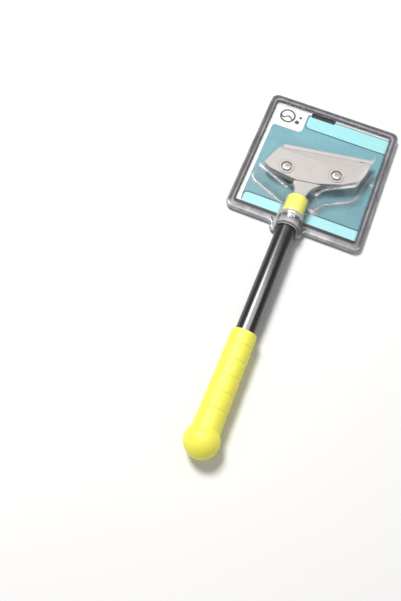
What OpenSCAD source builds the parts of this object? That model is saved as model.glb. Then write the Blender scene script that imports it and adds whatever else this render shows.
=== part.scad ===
// Long-handled blade scraper for glass walls, its head held in a clear clamshell pack.
// +Y runs from the ball end to the blade, +Z is up, and the origin is below the middle of the whole.

/* [Handle] */
// Outside diameter of the steel tube
tube_d = 20; // [16:0.5:26]
// Wall of the steel tube
tube_wall = 1.2; // [0.8:0.1:1.6]
// Length of the steel tube
tube_len = 254; // [190:1:320]
// How far the ball at the grip's end stands out round the tube
ball_over = 7.2; // [6:0.1:10]
// Thickness of the grip over the tube at its head end
grip_wall_top = 2.9; // [2:0.1:4]
// Thickness of the grip over the tube next to the ball
grip_wall_low = 3.9; // [3:0.1:5]
// Length of the grip from its head end to the middle of the ball
grip_len = 110; // [92:1:140]
// Number of shallow grooves round the grip
groove_count = 5; // [3:1:5]
// Distance from one groove to the next
groove_pitch = 16.4; // [12:0.2:17]
// Depth of a groove
groove_depth = 0.6; // [0.3:0.1:1]

/* [Collar and joint] */
// Wall of the plastic collar
collar_wall = 1.65; // [1.2:0.05:2.2]
// Length of the plastic collar
collar_len = 21.7; // [17:0.1:27]
// Thickness of the collar's closed end
collar_end = 1.8; // [1.2:0.1:3]
// Wall of the nylon bush between the tube and the head's shank
bush_wall = 2.4; // [1.2:0.1:3]
// Length of the shank inside the tube
shank_len = 32; // [26:1:45]
// Outside diameter of the spring pin through the shank
roll_pin_d = 4; // [3:0.5:5]
// Length of the plug in the tube's lower end
plug_len = 12; // [8:1:20]

/* [Head] */
// Turn of the head on the handle, seen from above
skew_deg = 10; // [6:1:12]
// Length of the blade's cutting edge
blade_len = 100; // [84:1:120]
// Width of the blade from its edge to its back
blade_w = 18; // [16:0.5:20]
// Thickness of the blade
blade_t = 0.8; // [0.5:0.1:1]
// How far the blade stands out in front of the plate
blade_reach = 5.4; // [4:0.1:7]
// How much further the blade can be drawn out
blade_travel = 6; // [4:0.5:6]
// Thickness of the cast base under the blade
base_t = 4.4; // [4:0.1:6]
// Thickness of the clamp plate
plate_t = 3.9; // [3.5:0.1:5]
// How far the clamp plate lifts when its screws are slack
plate_lift = 1.6; // [1:0.1:2]
// Distance between the two clamp screws
screw_pitch = 54.2; // [45:0.5:65]
// Thread diameter of the clamp screws
screw_d = 4.84; // [4:0.02:5]
// Diameter of the screw's pan head
screw_head_d = 9.5; // [8.6:0.1:10]
// Outside diameter of the raised ring round each screw
ring_d = 16.4; // [15:0.1:18]

/* [Pack] */
// Width of the pack beyond the blade on each side
pack_side = 27; // [25:0.5:45]
// Height of the pack beyond the blade
pack_top = 64.5; // [30:0.5:90]
// Thickness of the clear plastic sheet
sheet_t = 0.5; // [0.3:0.05:0.7]
// Width of the hollow rim round the pack
rim_w = 8; // [6:0.5:10]
// Height of the rim above the pack's flat face
rim_rise = 2.5; // [1.5:0.1:5]
// Corner radius of the pack
pack_corner_r = 9; // [7:0.5:14]
// How far the pack's middle lies to the right of the handle
pack_shift = 4.3; // [0:0.1:6]
// How far the mouth round the tube stands out below the pack
mouth_out = 9; // [5:0.5:12]
// Thickness of the printed card
card_t = 0.4; // [0.3:0.1:0.6]
// Room between the card and the collar in front of it
collar_room = 0.75; // [0.4:0.05:1.2]
// Room above the head inside the bubble
roof_room = 5.2; // [4:0.1:7]

/* [Hidden] */
$fn = 48;

// Clearances
snug = 0.02;        // radial gap between pieces pushed together for good
turning = 0.08;     // radial gap of a screw in its nut
resting = 0.05;     // gap between the blade and what clamps it
loose = 0.3;        // gap between the pack's pieces
tool_room = 0.6;    // gap between the tool and the pack's channel
hole_room = 0.3;    // radial gap of a screw in a drilled hole

// Handle
tube_r = tube_d / 2;
tube_bore_r = tube_r - tube_wall;
ball_r = tube_r + ball_over;
axis_z = ball_r;
collar_r = tube_r + collar_wall;
collar_y = 8.4;
collar_front_y = collar_y + collar_len;
tube_front_y = collar_front_y - collar_end;
tube_back_y = tube_front_y - tube_len;
shank_r = tube_bore_r - bush_wall;
shank_back_y = tube_front_y - shank_len;
plug_flange_t = 1.5;
plug_back_y = tube_back_y - plug_flange_t;
ball_cover = 13.3;  // rubber between the plug and the middle of the ball
ball_y = plug_back_y - ball_cover;
grip_front_y = ball_y + grip_len;
groove_start = 15;  // from the grip's head end to the first groove
groove_half = 1.6;  // half the width of a groove
grip_round = 1.8;   // rounding of the grip's head end
bush_len = shank_len - 2;
pin_y = collar_y + collar_len / 2;
pin_slit = 0.8;
pin_wall = 0.7;

// Head, drawn about the middle between the screws
neck_reach = 35.5;  // from the collar to the line through the screws
head_x = 2.5;
head_y = collar_front_y + neck_reach;
head_t = base_t + blade_t + plate_t + 2 * resting;
base_z = axis_z - head_t / 2;
blade_z = base_z + base_t + resting;
plate_z = blade_z + blade_t + resting;
plate_top_z = plate_z + plate_t;
plate_front = 26;   // from the screws to the plate's front edge
plate_back = -14.4; // from the screws to the plate's back edge over the neck
head_w = blade_len + 10.3;
side_left = 2.65 - head_w / 2;
side_right = side_left + head_w;
right_lean = 0.318; // the right side leans outwards by this much for each millimetre forwards
left_lean = 0.6;    // and the left side leans inwards by this much
blade_front = plate_front + blade_reach;
blade_right = side_at(blade_front);
base_inset = 0.4;   // the casting stands this far inside the plate
lip_back = 1.5;     // the casting's lip stands this far behind the plate's front edge
bevel_w = 4;        // sloping front of the plate
bevel_drop = 2.3;
ring_h = 0.5;
recess_d = screw_head_d + 2.6;
recess_depth = 2.6;
washer_t = 1;
washer_d = screw_head_d - 0.4;
screw_head_h = 2;
nut_af = screw_d + 3.16;
nut_t = 2.7;
neck_w = 2 * shank_r + 0.4;
neck_top_drop = 0.9;
shoulder_w = 3;     // ledge of the casting behind the blade

// Pack
pack_w = blade_len + 2 * pack_side;
pack_h = head_y + blade_front + pack_top;
pack_mid_x = pack_shift;
flange_z = 2.4;     // height where the two shells meet
card_z = axis_z - collar_r - collar_room - card_t;
tray_z = card_z - 0.1;
face_z = card_z + card_t + loose;
rim_h = face_z + rim_rise;
roof_z = plate_top_z + ring_h + roof_room;
channel_r = collar_r + tool_room;
mouth_r = tube_r + tool_room;
mouth_w = 40;
mouth_corner_r = 7;
card_gap = 1;
face_corner_r = 3;
bubble_front_room = 4.4;
channel_front_y = collar_front_y + 14;

// Frame: the middle of everything in X and Y
mid_y = (pack_h + ball_y - ball_r) / 2;

module framed() {
    translate([-pack_mid_x, -mid_y, 0]) children();
}

module at_head(z) {
    translate([head_x, head_y, z]) rotate(skew_deg) children();
}

module at_screw(side, z) {
    at_head(z) translate([side * screw_pitch / 2, 0, 0]) children();
}

// A solid of revolution round the handle's axis, its profile given as [radius, y]
module turned(profile) {
    translate([0, 0, axis_z]) rotate([-90, 0, 0]) rotate_extrude($fn = 72) polygon(profile);
}

module along_y(r, y0, y1, sides = 64) {
    translate([0, y0, axis_z]) rotate([-90, 0, 0]) cylinder(r = r, h = y1 - y0, $fn = sides);
}

// Rounded corners of a flat outline: each corner is [x, y, radius]
function unit(v) = v / norm(v);
function flat(p) = [p.x, p.y];
function corner(a, p, b, r, n) =
    let (u = unit(a - p), v = unit(b - p), half = acos(u * v) / 2,
        c = p + unit(u + v) * r / sin(half),
        s = p + u * r / tan(half) - c, e = p + v * r / tan(half) - c,
        from = atan2(s.y, s.x), turn = (atan2(e.y, e.x) - from + 540) % 360 - 180)
    [for (i = [0:n]) c + r * [cos(from + turn * i / n), sin(from + turn * i / n)]];
function rounded(pts, n = 5) =
    [for (i = [0:len(pts) - 1])
        let (a = pts[(i + len(pts) - 1) % len(pts)], p = pts[i], b = pts[(i + 1) % len(pts)])
        each corner(flat(a), flat(p), flat(b), p[2], n)];

module rounded_slab(x0, x1, y0, y1, r, h) {
    linear_extrude(h) polygon(rounded([[x0, y0, r], [x1, y0, r], [x1, y1, r], [x0, y1, r]]));
}

// Handle ---------------------------------------------------------------

module handle_tube() {
    color([0.05, 0.05, 0.06]) framed() difference() {
        along_y(tube_r, tube_back_y, tube_front_y);
        along_y(tube_bore_r, tube_back_y - 1, tube_front_y + 1);
        translate([-tube_r - 1, pin_y, axis_z]) rotate([0, 90, 0])
            cylinder(r = roll_pin_d / 2 + snug, h = tube_d + 2, $fn = 32);
    }
}

module tube_end_plug() {
    color([0.2, 0.2, 0.2]) framed() difference() {
        union() {
            along_y(tube_bore_r - snug, tube_back_y - 0.1, tube_back_y + plug_len);
            along_y(tube_r - 0.2, plug_back_y, tube_back_y);
        }
        along_y(tube_bore_r - 3, tube_back_y + 1, tube_back_y + plug_len + 1);
    }
}

function grip_r(y) =
    let (t = (y - ball_y) / grip_len) tube_r + grip_wall_low + (grip_wall_top - grip_wall_low) * t;
function groove_y(i) = grip_front_y - groove_start - groove_pitch * i;
function groove_points(i) =
    [for (k = [-4:4]) let (y = groove_y(i) + groove_half * k / 4)
        [grip_r(y) - groove_depth * (1 + cos(45 * k)) / 2, y]];

module grip_sleeve() {
    neck_r = grip_r(ball_y + ball_r * 0.6);
    neck_angle = asin(neck_r / ball_r);
    ball = [for (i = [0:24]) let (a = i * (180 - neck_angle) / 24)
        [ball_r * sin(a), ball_y - ball_r * cos(a)]];
    side = [for (i = [groove_count - 1:-1:0]) each groove_points(i)];
    tip_r = grip_r(grip_front_y) - grip_round;
    tip = [for (i = [0:5]) let (a = 18 * i)
        [tip_r + grip_round * cos(a), grip_front_y - grip_round + grip_round * sin(a)]];
    bore_r = tube_r + snug;
    bore = [[bore_r, grip_front_y], [bore_r, plug_back_y - snug], [0, plug_back_y - snug]];
    color([0.98, 0.92, 0.1]) framed() turned(concat(ball, side, tip, bore));
}

module neck_collar() {
    round = 2;
    edge_r = collar_r - round;
    edge = [for (i = [0:5]) let (a = 18 * i)
        [edge_r + round * cos(a), collar_front_y - round + round * sin(a)]];
    hole_r = shank_r + snug;
    bore_r = tube_r + snug;
    step_y = tube_front_y + snug;
    profile = concat([[bore_r, collar_y], [collar_r - 0.4, collar_y], [collar_r, collar_y + 0.4]],
        edge, [[hole_r, collar_front_y], [hole_r, step_y], [bore_r, step_y]]);
    color([0.98, 0.92, 0.1]) framed() turned(profile);
}

module shank_bush() {
    color([0.9, 0.9, 0.85]) framed() difference() {
        along_y(tube_bore_r - snug, tube_front_y - bush_len, tube_front_y);
        along_y(shank_r + snug, tube_front_y - bush_len - 1, tube_front_y + 1);
        translate([-tube_r, pin_y, axis_z]) rotate([0, 90, 0])
            cylinder(r = roll_pin_d / 2 + snug, h = tube_d, $fn = 32);
    }
}

module shank_roll_pin() {
    pin_len = 2 * sqrt(pow(tube_r, 2) - pow(roll_pin_d / 2, 2)) - 0.2;
    color("silver") framed() translate([-pin_len / 2, pin_y, axis_z]) rotate([0, 90, 0])
        difference() {
            cylinder(r = roll_pin_d / 2, h = pin_len, $fn = 32);
            translate([0, 0, -1]) cylinder(r = roll_pin_d / 2 - pin_wall, h = pin_len + 2, $fn = 32);
            translate([-roll_pin_d, -pin_slit / 2, -1]) cube([roll_pin_d, pin_slit, pin_len + 2]);
        }
}

// Head -----------------------------------------------------------------

// Outline of the head without its neck, drawn in the head's own axes
function side_at(y) = side_right + (y - 6.5) * right_lean;
function head_outline(front, inset) = rounded([
    [side_left + inset, 0.6, 3],
    [side_left + 8 + inset, -5.4 + inset, 8],
    [side_left + 28.5, -11.6 + inset, 3],
    [-14, plate_back + inset, 2],
    [8, plate_back + inset, 3],
    [side_right - 22.8, -9.6 + inset, 12],
    [side_right - 6.8 - inset, -2.4 + inset, 6],
    [side_right - inset, 6.5, 8],
    [side_at(front) - inset, front, 0.8],
    [side_left + inset + (front - 0.6) * left_lean, front, 2]]);

// Outline of the neck in the handle's axes, from the collar to under the plate
function neck_outline() = rounded([
    [-neck_w / 2, collar_front_y + snug, 0.2],
    [neck_w / 2, collar_front_y + snug, 0.2],
    [neck_w / 2 + 0.4, collar_front_y + 7, 12],
    [12.4, head_y - 17.6, 5],
    [19, head_y - 9, 2],
    [-22, head_y - 10, 2],
    [-20, head_y - 15.4, 2],
    [-9, head_y - 21.6, 6],
    [-neck_w / 2 - 0.2, collar_front_y + 6, 12]]);

module head_casting() {
    seat_back = blade_front - blade_w - resting;
    neck_h = plate_top_z - neck_top_drop - base_z - base_inset;
    color([0.8, 0.78, 0.77]) framed() difference() {
        union() {
            at_head(base_z) difference() {
                linear_extrude(plate_z - base_z - resting)
                    polygon(head_outline(plate_front - lip_back, base_inset));
                translate([-100, seat_back, base_t]) cube([200, 60, 20]);
            }
            difference() {
                translate([0, 0, base_z + base_inset]) linear_extrude(neck_h) polygon(neck_outline());
                at_head(plate_z - 1) translate([-60, plate_back - loose, 0]) cube([130, 60, 20]);
            }
            along_y(shank_r, shank_back_y, collar_front_y + 3);
        }
        for (side = [-1, 1]) {
            at_screw(side, base_z - 1) cylinder(r = screw_d / 2 + hole_room, h = 12, $fn = 32);
            at_screw(side, base_z - 1) cylinder(d = (nut_af + 2 * snug) / cos(30), h = nut_t + snug + 1, $fn = 6);
        }
        translate([-tube_r, pin_y, axis_z]) rotate([0, 90, 0])
            cylinder(r = roll_pin_d / 2 + snug, h = tube_d, $fn = 32);
    }
}

module clamp_nut(side) {
    color("silver") framed() at_screw(side, base_z) difference() {
        cylinder(d = nut_af / cos(30), h = nut_t, $fn = 6);
        translate([0, 0, -1]) cylinder(r = screw_d / 2 + turning, h = nut_t + 2, $fn = 32);
    }
}

module clamp_nut_left() {
    clamp_nut(-1);
}

module clamp_nut_right() {
    clamp_nut(1);
}

module clamp_plate() {
    slope = atan2(bevel_drop, bevel_w);
    color([0.84, 0.81, 0.8]) framed() difference() {
        union() {
            at_head(plate_z) linear_extrude(plate_t) polygon(head_outline(plate_front, 0));
            for (side = [-1, 1]) at_screw(side, plate_z) cylinder(d = ring_d, h = plate_t + ring_h, $fn = 64);
        }
        at_head(plate_top_z) translate([-70, plate_front - bevel_w, 0]) rotate([-slope, 0, 0])
            cube([150, 20, 20]);
        at_head(plate_top_z - bevel_drop) translate([50, plate_front - 2.6, -0.4]) cube([5.5, 1, 5]);
        for (side = [-1, 1]) {
            at_screw(side, plate_top_z + ring_h - recess_depth) cylinder(d = recess_d, h = 10, $fn = 48);
            at_screw(side, plate_z - 1) cylinder(r = screw_d / 2 + hole_room, h = 20, $fn = 32);
        }
    }
}

module lock_washer(side) {
    z = plate_top_z + ring_h - recess_depth + snug;
    color("silver") framed() at_screw(side, z) difference() {
        cylinder(d = washer_d, h = washer_t, $fn = 48);
        translate([0, 0, -1]) cylinder(r = screw_d / 2 + turning, h = washer_t + 2, $fn = 32);
        rotate(60) translate([0, -0.5, -1]) cube([washer_d, 1, washer_t + 2]);
    }
}

module lock_washer_left() {
    lock_washer(-1);
}

module lock_washer_right() {
    lock_washer(1);
}

module clamp_screw(side) {
    under_head_z = plate_top_z + ring_h - recess_depth + washer_t + resting;
    color([0.75, 0.75, 0.76]) framed() difference() {
        union() {
            at_screw(side, base_z + 0.2) cylinder(d = screw_d, h = under_head_z - base_z, $fn = 32);
            at_screw(side, under_head_z) cylinder(d = screw_head_d, h = screw_head_h * 0.6, $fn = 48);
            at_screw(side, under_head_z + screw_head_h * 0.6)
                cylinder(d1 = screw_head_d, d2 = screw_head_d - 2.6, h = screw_head_h * 0.4, $fn = 48);
        }
        for (turn = [0, 90]) at_screw(side, under_head_z + screw_head_h - 1.2) rotate(turn + 20)
            translate([-2.4, -0.5, 0]) cube([4.8, 1, 3]);
    }
}

module clamp_screw_left() {
    clamp_screw(-1);
}

module clamp_screw_right() {
    clamp_screw(1);
}

module scraper_blade() {
    edge_w = 1.6;
    slope = atan2(blade_t * 0.8, edge_w);
    color([0.9, 0.9, 0.92]) framed() at_head(blade_z) difference() {
        linear_extrude(blade_t) polygon([
            [blade_right - blade_len, blade_front - blade_w],
            [blade_right - blade_w * right_lean, blade_front - blade_w],
            [blade_right, blade_front],
            [blade_right - blade_len, blade_front]]);
        translate([-60, blade_front - edge_w, blade_t]) rotate([-slope, 0, 0]) cube([140, 10, 5]);
    }
}

// Pack -----------------------------------------------------------------

// Outline of the pack, drawn in by an inset all round, as a slab from z0 to z1
module pack_slab(inset, z0, z1) {
    half = pack_w / 2 - inset;
    translate([0, 0, z0]) union() {
        rounded_slab(pack_mid_x - half, pack_mid_x + half, inset, pack_h - inset,
            pack_corner_r - inset, z1 - z0);
        rounded_slab(-mouth_w / 2 + inset, mouth_w / 2 - inset, inset - mouth_out, 30,
            mouth_corner_r - inset, z1 - z0);
    }
}

// The flat face inside the rim, grown by an amount all round, as a slab from z0 to z1
module face_slab(grow, z0, z1) {
    half = pack_w / 2 - rim_w + grow;
    translate([0, 0, z0])
        rounded_slab(pack_mid_x - half, pack_mid_x + half, rim_w - grow, pack_h - rim_w + grow,
            face_corner_r + grow, z1 - z0);
}

// Space round the head, drawn in the head's own axes and grown by an amount all round
function bubble_outline(grow) =
    let (front = blade_front + blade_travel + bubble_front_room + grow)
    rounded([
        [side_left - 9.8 - grow, -10 - grow, 8],
        [-24 - grow, -34.5 - grow, 6],
        [11 + grow, -37 - grow, 4],
        [18 + grow, -28.4 - grow, 5],
        [side_right - 6 + grow, -15.5 - grow, 14],
        [side_right + 10 + grow, 22.6, 20],
        [side_right + 13 + grow, front, 6],
        [side_left + 9.9 - grow, front, 8]]);

module bubble(grow, z0, z1) {
    at_head(z0) linear_extrude(z1 - z0) polygon(bubble_outline(grow));
}

// Round-topped channel over the handle, open downwards to z0
module channel(r, y0, y1, z0) {
    along_y(r, y0, y1);
    translate([-r, y0, z0]) cube([2 * r, y1 - y0, axis_z - z0]);
}

module rim_hollow(z0, z1, wall) {
    difference() {
        pack_slab(sheet_t, z0, z1);
        face_slab(wall, z0 - 1, z1 + 1);
    }
}

module pack_front_shell() {
    color([0.85, 0.9, 0.95, 0.35]) framed() difference() {
        union() {
            difference() {
                pack_slab(0, flange_z + loose, rim_h);
                face_slab(0, face_z + sheet_t, rim_h + 1);
            }
            bubble(0, face_z, roof_z + sheet_t);
            channel(channel_r + sheet_t, -mouth_out, channel_front_y, face_z);
        }
        rim_hollow(0, rim_h - sheet_t, sheet_t);
        face_slab(sheet_t + 0.1, 0, face_z);
        bubble(-sheet_t, 0, roof_z);
        channel(channel_r, sheet_t - mouth_out, channel_front_y, 0);
        channel(mouth_r, -mouth_out - 1, 0, 0);
    }
}

module pack_back_shell() {
    color([0.85, 0.9, 0.95, 0.35]) framed() difference() {
        union() {
            pack_slab(0, 0, flange_z);
            face_slab(0, 0, tray_z);
        }
        rim_hollow(sheet_t, tray_z + 1, 0);
        face_slab(-sheet_t, -1, tray_z - sheet_t);
    }
}

module printed_card() {
    half = pack_w / 2 - rim_w - card_gap;
    color([0.5, 0.75, 0.8]) framed() translate([0, 0, card_z])
        rounded_slab(pack_mid_x - half, pack_mid_x + half, rim_w + card_gap, pack_h - rim_w - card_gap,
            face_corner_r, card_t);
}

handle_tube();
tube_end_plug();
grip_sleeve();
neck_collar();
shank_bush();
shank_roll_pin();
head_casting();
clamp_nut_left();
clamp_nut_right();
clamp_plate();
lock_washer_left();
lock_washer_right();
clamp_screw_left();
clamp_screw_right();
scraper_blade();
printed_card();
pack_front_shell();
pack_back_shell();
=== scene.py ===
"""Looks of a long-handled glass scraper held in a clear clamshell pack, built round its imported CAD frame.

Shapes are worked out in millimetres in the tool's own axes: X = 0 is the handle's axis, Y = 0 the pack's
lower edge, Z = 0 the table. The head has axes of its own, turned on the handle, with its origin between the
two clamp screws. place() and place_head() take both to the frame's metres.
"""
import math

import bmesh
import bpy
import numpy as np
from bpy.props import FloatProperty, FloatVectorProperty, PointerProperty
from mathutils import Matrix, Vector
from mathutils.geometry import tessellate_polygon


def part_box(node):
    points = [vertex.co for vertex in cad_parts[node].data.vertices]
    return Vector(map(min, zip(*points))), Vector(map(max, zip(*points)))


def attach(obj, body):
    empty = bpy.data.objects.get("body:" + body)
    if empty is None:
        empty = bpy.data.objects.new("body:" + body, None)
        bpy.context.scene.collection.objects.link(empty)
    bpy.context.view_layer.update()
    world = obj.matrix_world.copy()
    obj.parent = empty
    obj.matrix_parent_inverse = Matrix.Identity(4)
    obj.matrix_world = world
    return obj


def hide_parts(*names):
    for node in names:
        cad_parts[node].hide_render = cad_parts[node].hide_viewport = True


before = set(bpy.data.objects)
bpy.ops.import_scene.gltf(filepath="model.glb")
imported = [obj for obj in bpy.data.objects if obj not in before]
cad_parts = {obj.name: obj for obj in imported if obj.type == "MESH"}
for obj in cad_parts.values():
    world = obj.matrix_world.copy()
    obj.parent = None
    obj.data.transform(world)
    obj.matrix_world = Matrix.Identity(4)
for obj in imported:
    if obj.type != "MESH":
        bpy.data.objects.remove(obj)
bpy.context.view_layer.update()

bl_info = {
    "name": "Glass scraper in a clear pack",
    "version": (1, 0, 0),
    "blender": (4, 5, 0),
    "location": "View3D > Sidebar > Scraper",
    "description": "Builds the handle, head, card and clear pack round the packed frame",
    "category": "Object",
}

MM = 0.001


def node_box(name):
    """Lowest and highest corner of a CAD node in millimetres."""
    low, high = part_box(name)
    return np.array(low) / MM, np.array(high) / MM


# Where the tool's axes lie in the frame
COLLAR_LOW, COLLAR_HIGH = node_box("neck_collar")
TUBE_LOW, TUBE_HIGH = node_box("handle_tube")
PACK_LOW, PACK_HIGH = node_box("pack_front_shell")
COLLAR_Y = 8.4
ORIGIN = np.array([(TUBE_LOW[0] + TUBE_HIGH[0]) / 2, COLLAR_LOW[1] - COLLAR_Y, 0.0])
AXIS_Z = (TUBE_LOW[2] + TUBE_HIGH[2]) / 2
TUBE_R = (TUBE_HIGH[2] - TUBE_LOW[2]) / 2
COLLAR_R = (COLLAR_HIGH[2] - COLLAR_LOW[2]) / 2
COLLAR_FRONT = COLLAR_HIGH[1] - ORIGIN[1]
PACK_LEFT, PACK_RIGHT = PACK_LOW[0] - ORIGIN[0], PACK_HIGH[0] - ORIGIN[0]
PACK_TOP = PACK_HIGH[1] - ORIGIN[1]
MOUTH_Y = PACK_LOW[1] - ORIGIN[1]
PACK_MID = (PACK_LEFT + PACK_RIGHT) / 2

# The head on the handle
HEAD_TURN = math.radians(10)
HEAD_AT = np.array([2.5, COLLAR_FRONT + 35.5])
SCREW_X = 27.1
PLATE_FRONT = 26.0
PLATE_BACK = -14.4
SIDE_LEFT = -52.5
SIDE_RIGHT = 57.8
RIGHT_LEAN = 0.318
LEFT_LEAN = 0.6
BLADE_FRONT = PLATE_FRONT + 5.4
BLADE_DEEP = 18.0
BLADE_LONG = 100.0
CAST_Z = 12.6
BLADE_LOW, BLADE_HIGH = node_box("scraper_blade")
PLATE_LOW, PLATE_HIGH = node_box("clamp_plate")
RING_UP = 0.5
PLATE_TOP = PLATE_HIGH[2] - RING_UP
PLATE_Z = PLATE_LOW[2]

# The pack
RIM_W = 8.0
FLANGE_Z = PACK_LOW[2]
FACE_Z = 5.6
RIM_Z = 7.6
ROOF_Z = 28.0
CHANNEL_R = COLLAR_R + 1.1
TRAY_Z = 4.3
FACE_LEFT, FACE_RIGHT = PACK_LEFT + RIM_W, PACK_RIGHT - RIM_W
FACE_LOW, FACE_TOP = RIM_W, PACK_TOP - RIM_W
BUBBLE_FRONT = BLADE_FRONT + 10.4
OUTLINE_POINTS = 4000
PACK_CORNERS = [(PACK_RIGHT, 0), (PACK_RIGHT, PACK_TOP), (PACK_LEFT, PACK_TOP), (PACK_LEFT, 0)]
FACE_CORNERS = [(FACE_RIGHT, FACE_LOW), (FACE_RIGHT, FACE_TOP), (FACE_LEFT, FACE_TOP), (FACE_LEFT, FACE_LOW)]

# Radii that pieces share
SHANK_R = 6.38
TUBE_SEAT_R = TUBE_R + 0.02
SCREW_HOLE_R = 2.72


def place(points):
    """Tool axes in millimetres to the frame's metres."""
    return (np.asarray(points, float) + ORIGIN) * MM


def place_head(points):
    """Head axes in millimetres to the frame's metres: a turn about Z, then a move to the head's origin."""
    p = np.array(points, float)
    c, s = math.cos(HEAD_TURN), math.sin(HEAD_TURN)
    x, y = p[..., 0].copy(), p[..., 1].copy()
    p[..., 0] = HEAD_AT[0] + x * c - y * s
    p[..., 1] = HEAD_AT[1] + x * s + y * c
    return place(p)


# Surfaces -------------------------------------------------------------


def grid_faces(rows, columns, closed_rows, closed_columns):
    """Four-cornered faces of a grid of points; a closed direction joins its last line to its first."""
    r = np.arange(rows if closed_rows else rows - 1)
    c = np.arange(columns if closed_columns else columns - 1)
    r, c = np.meshgrid(r, c, indexing="ij")
    r2, c2 = (r + 1) % rows, (c + 1) % columns
    quads = np.stack([r * columns + c, r * columns + c2, r2 * columns + c2, r2 * columns + c], -1)
    return quads.reshape(-1, 4)


class Surface:
    """Gathers grids and flat caps, in metres, and makes one mesh of them with touching points merged."""

    def __init__(self):
        self.points, self.faces, self.marks, self.count = [], [], [], 0

    def add(self, points, faces, marks=(0.0, 0.0)):
        points = np.asarray(points, float).reshape(-1, 3)
        self.points.append(points)
        self.marks.append(np.broadcast_to(np.asarray(marks, float).reshape(-1, 2), (len(points), 2)))
        self.faces += (np.asarray(faces) + self.count).tolist()
        self.count += len(points)

    def grid(self, points, closed_rows=False, closed_columns=False, marks=(0.0, 0.0)):
        rows, columns = points.shape[:2]
        self.add(points, grid_faces(rows, columns, closed_rows, closed_columns), marks)

    def cap(self, *loops):
        """Flat fill between an outer loop and the loops of its holes."""
        self.add(np.concatenate(loops), tessellate_polygon([loop.tolist() for loop in loops]))

    def capped(self, points):
        """A grid closed round its columns, with a flat fill on each end."""
        self.grid(points, closed_columns=True)
        self.cap(points[0])
        self.cap(points[-1])

    def make(self, name, keep_sharp=40.0, closed=True, mark_names=()):
        """The object: doubles merged, faces turned outwards, and edges sharper than an angle kept sharp."""
        mesh = bpy.data.meshes.new(name)
        mesh.from_pydata(np.concatenate(self.points).tolist(), [], self.faces)
        for column, mark in enumerate(mark_names):
            layer = mesh.attributes.new(mark, "FLOAT", "POINT")
            layer.data.foreach_set("value", np.concatenate(self.marks)[:, column].astype(np.float32))
        bm = bmesh.new()
        bm.from_mesh(mesh)
        bmesh.ops.remove_doubles(bm, verts=bm.verts, dist=2e-6)
        bmesh.ops.dissolve_degenerate(bm, edges=bm.edges, dist=1e-7)
        if closed:
            bmesh.ops.recalc_face_normals(bm, faces=bm.faces)
        bm.to_mesh(mesh)
        bm.free()
        mesh.shade_smooth()
        mesh.set_sharp_from_angle(angle=math.radians(keep_sharp))
        thing = bpy.data.objects.new(name, mesh)
        bpy.context.scene.collection.objects.link(thing)
        return thing


def smooth_step(low, high, x):
    """0 below low, 1 above high, and a smooth rise between them; low may be the larger."""
    t = np.clip((x - low) / (high - low), 0, 1)
    return t * t * (3 - 2 * t)


def soft_max(a, b, width):
    """The larger of two heights, with the corner between them rounded over a width."""
    h = np.clip(0.5 + 0.5 * (a - b) / width, 0, 1)
    return b + (a - b) * h + width * h * (1 - h)


def rounded_outline(corners, steps=10):
    """Closed outline of straight sides and corner arcs: each corner is (x, y, radius), and the arc of that
    radius touches both sides that meet there."""
    c = np.asarray(corners, float)
    p, r = c[:, :2], c[:, 2:3]
    u, v = np.roll(p, 1, 0) - p, np.roll(p, -1, 0) - p
    u /= np.linalg.norm(u, axis=1, keepdims=True)
    v /= np.linalg.norm(v, axis=1, keepdims=True)
    half = np.arccos(np.clip((u * v).sum(1, keepdims=True), -1, 1)) / 2
    middle = (u + v) / np.linalg.norm(u + v, axis=1, keepdims=True)
    centre = p + middle * r / np.sin(half)
    start, end = p + u * r / np.tan(half) - centre, p + v * r / np.tan(half) - centre
    first = np.arctan2(start[:, 1], start[:, 0])
    turn = (np.arctan2(end[:, 1], end[:, 0]) - first + math.pi) % (2 * math.pi) - math.pi
    angle = first[:, None] + turn[:, None] * np.linspace(0, 1, steps + 1)
    arc = np.stack([np.cos(angle), np.sin(angle)], -1)
    return (centre[:, None] + r[:, :, None] * arc).reshape(-1, 2)


def rounded_path(corners, steps=6, straight=3):
    """Open path of straight runs and corner arcs through (x, y, radius) corners; the ends have no radius."""
    c = np.asarray(corners, float)
    inner = rounded_outline(c, steps).reshape(len(c), steps + 1, 2)[1:-1].reshape(-1, 2)
    whole = np.concatenate([c[:1, :2], inner, c[-1:, :2]])
    t = np.linspace(0, 1, straight + 1)[:-1]
    runs = whole[:-1, None] + (whole[1:, None] - whole[:-1, None]) * t[None, :, None]
    long = np.linalg.norm(np.diff(whole, axis=0), axis=1) > 1.2
    keep = np.ones((len(whole) - 1, straight), bool)
    keep[~long, 1:] = False
    return np.concatenate([runs[keep], whole[-1:]])


def even_steps(outline, count):
    """A closed outline walked in equal steps."""
    closed = np.concatenate([outline, outline[:1]])
    run = np.concatenate([[0], np.cumsum(np.linalg.norm(np.diff(closed, axis=0), axis=1))])
    at = np.linspace(0, run[-1], count, endpoint=False)
    return np.stack([np.interp(at, run, closed[:, 0]), np.interp(at, run, closed[:, 1])], -1)


def outward(outline):
    """Unit normals of a closed outline that runs anticlockwise, pointing out of it."""
    t = np.roll(outline, -1, 0) - np.roll(outline, 1, 0)
    n = np.stack([t[:, 1], -t[:, 0]], -1)
    return n / np.linalg.norm(n, axis=1, keepdims=True)


def along_curve(points, count):
    """A smooth curve through points: a Catmull-Rom spline, evaluated at equal steps of its parameter."""
    p = np.asarray(points, float)
    p = np.concatenate([2 * p[:1] - p[1:2], p, 2 * p[-1:] - p[-2:-1]])
    t = np.linspace(0, len(p) - 3 - 1e-9, count)
    k = t.astype(int)
    f = (t - k)[:, None]
    a, b, c, d = p[k], p[k + 1], p[k + 2], p[k + 3]
    return 0.5 * (2 * b + (c - a) * f + (2 * a - 5 * b + 4 * c - d) * f**2 + (3 * b - a - 3 * c + d) * f**3)


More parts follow.
